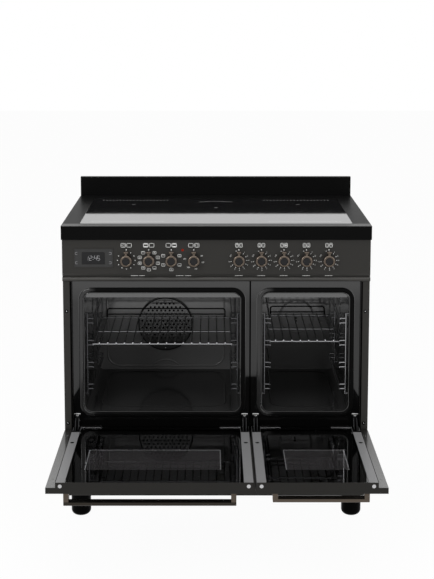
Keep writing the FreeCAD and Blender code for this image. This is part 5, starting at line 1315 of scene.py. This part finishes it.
# %% Plan a grid of copies
def plan_grid():
    plan = Plan("copies_on_a_grid", {"Columns": "Int", "Rows": "Int", "Column step": "Float", "Row step": "Float",
                                     "First": "Vector", "Finish": "Material"})
    across, upward = plan.xyz(X=plan["Column step"]), plan.xyz(Z=plan["Row step"])
    columns = plan.node("GeometryNodeMeshLine", {"mode": "OFFSET"}, {
        "Count": plan["Columns"], "Start Location": plan["First"], "Offset": across})
    rows = plan.node("GeometryNodeMeshLine", {"mode": "OFFSET"}, {"Count": plan["Rows"], "Offset": upward})
    lattice = plan.node("GeometryNodeInstanceOnPoints", {}, {"Points": columns, "Instance": rows})
    lattice = plan.node("GeometryNodeRealizeInstances", {}, {"Geometry": lattice})
    plan.close(plan.node("GeometryNodeInstanceOnPoints", {}, {"Points": lattice, "Instance": plan["Start"]}))
    return plan


grid = plan_grid()


def louvre_mesh(wide, tall, proud, steps=5):
    """One pressed hood: a quarter round that stands off the back and is open below."""
    build = bmesh.new()
    arc = [(proud * sin(pi / 2 * i / steps), tall * (cos(pi / 2 * i / steps))) for i in range(steps + 1)]
    rings = []
    for x, share in ((-wide / 2, 0.0), (-wide / 2 + proud, 1.0), (wide / 2 - proud, 1.0), (wide / 2, 0.0)):
        rings.append([build.verts.new((x, y * max(share, 0.02), z)) for y, z in arc])
    for a, b in zip(rings, rings[1:]):
        for i in range(steps):
            build.faces.new((a[i], a[i + 1], b[i + 1], b[i]))
    bmesh.ops.solidify(build, geom=list(build.faces), thickness=-0.6 * mm)
    bmesh.ops.recalc_face_normals(build, faces=build.faces)
    return plain(build, "louvre")


def slot_mesh(wide, tall):
    build = bmesh.new()
    rounded_block(build, (-wide / 2, -0.2 * mm, 0.0), (wide / 2, 0.15 * mm, tall), 0.1 * mm, 1)
    return plain(build, "slot")


# %% Press the louvres and set the rear screws
hoods, slots = [], []
for columns, rows, first in ((6, 6, (-0.295, body_back, 0.690)), (3, 5, (-0.330, body_back, 0.150))):
    sizes = {"Columns": columns, "Rows": rows, "Column step": 0.118, "Row step": 0.0165, "First": first}
    hoods.append(grow(grid, {**sizes, "Finish": zinc}, louvre_mesh(0.088, 0.009, 0.0040)))
    slots.append(grow(grid, {**sizes, "Finish": print_and_shade_black}, slot_mesh(0.080, 0.007)))
add_piece("back_louvres", hoods, zinc, "frame")
# Painted shade: black slots stand for the dark openings under the hoods.
add_piece("louvre_slots", slots, print_and_shade_black, "frame")
rear_points = [(x, body_back, z) for x in (-0.430, -0.215, 0.0, 0.215, 0.430) for z in (0.103, 0.842)]
rear_points += [(x, body_back, z) for x in (-0.430, 0.430) for z in (0.290, 0.475, 0.660)]
add_screws("rear_screws", rear_points, FACING_FRONT, "frame", ring=4.2, head=3.0)
side_low, side_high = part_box("side_panels")
side_points = [(x, y, z) for x in (side_low.x, side_high.x)
               for y, z in ((0.480, 0.130), (0.480, 0.815), (0.020, 0.110), (0.250, 0.110))]
add_screws("side_screws", side_points, FACING_SIDE, "frame", ring=4.0, head=2.8)
print("rear screws", len(rear_points), "side screws", len(side_points))
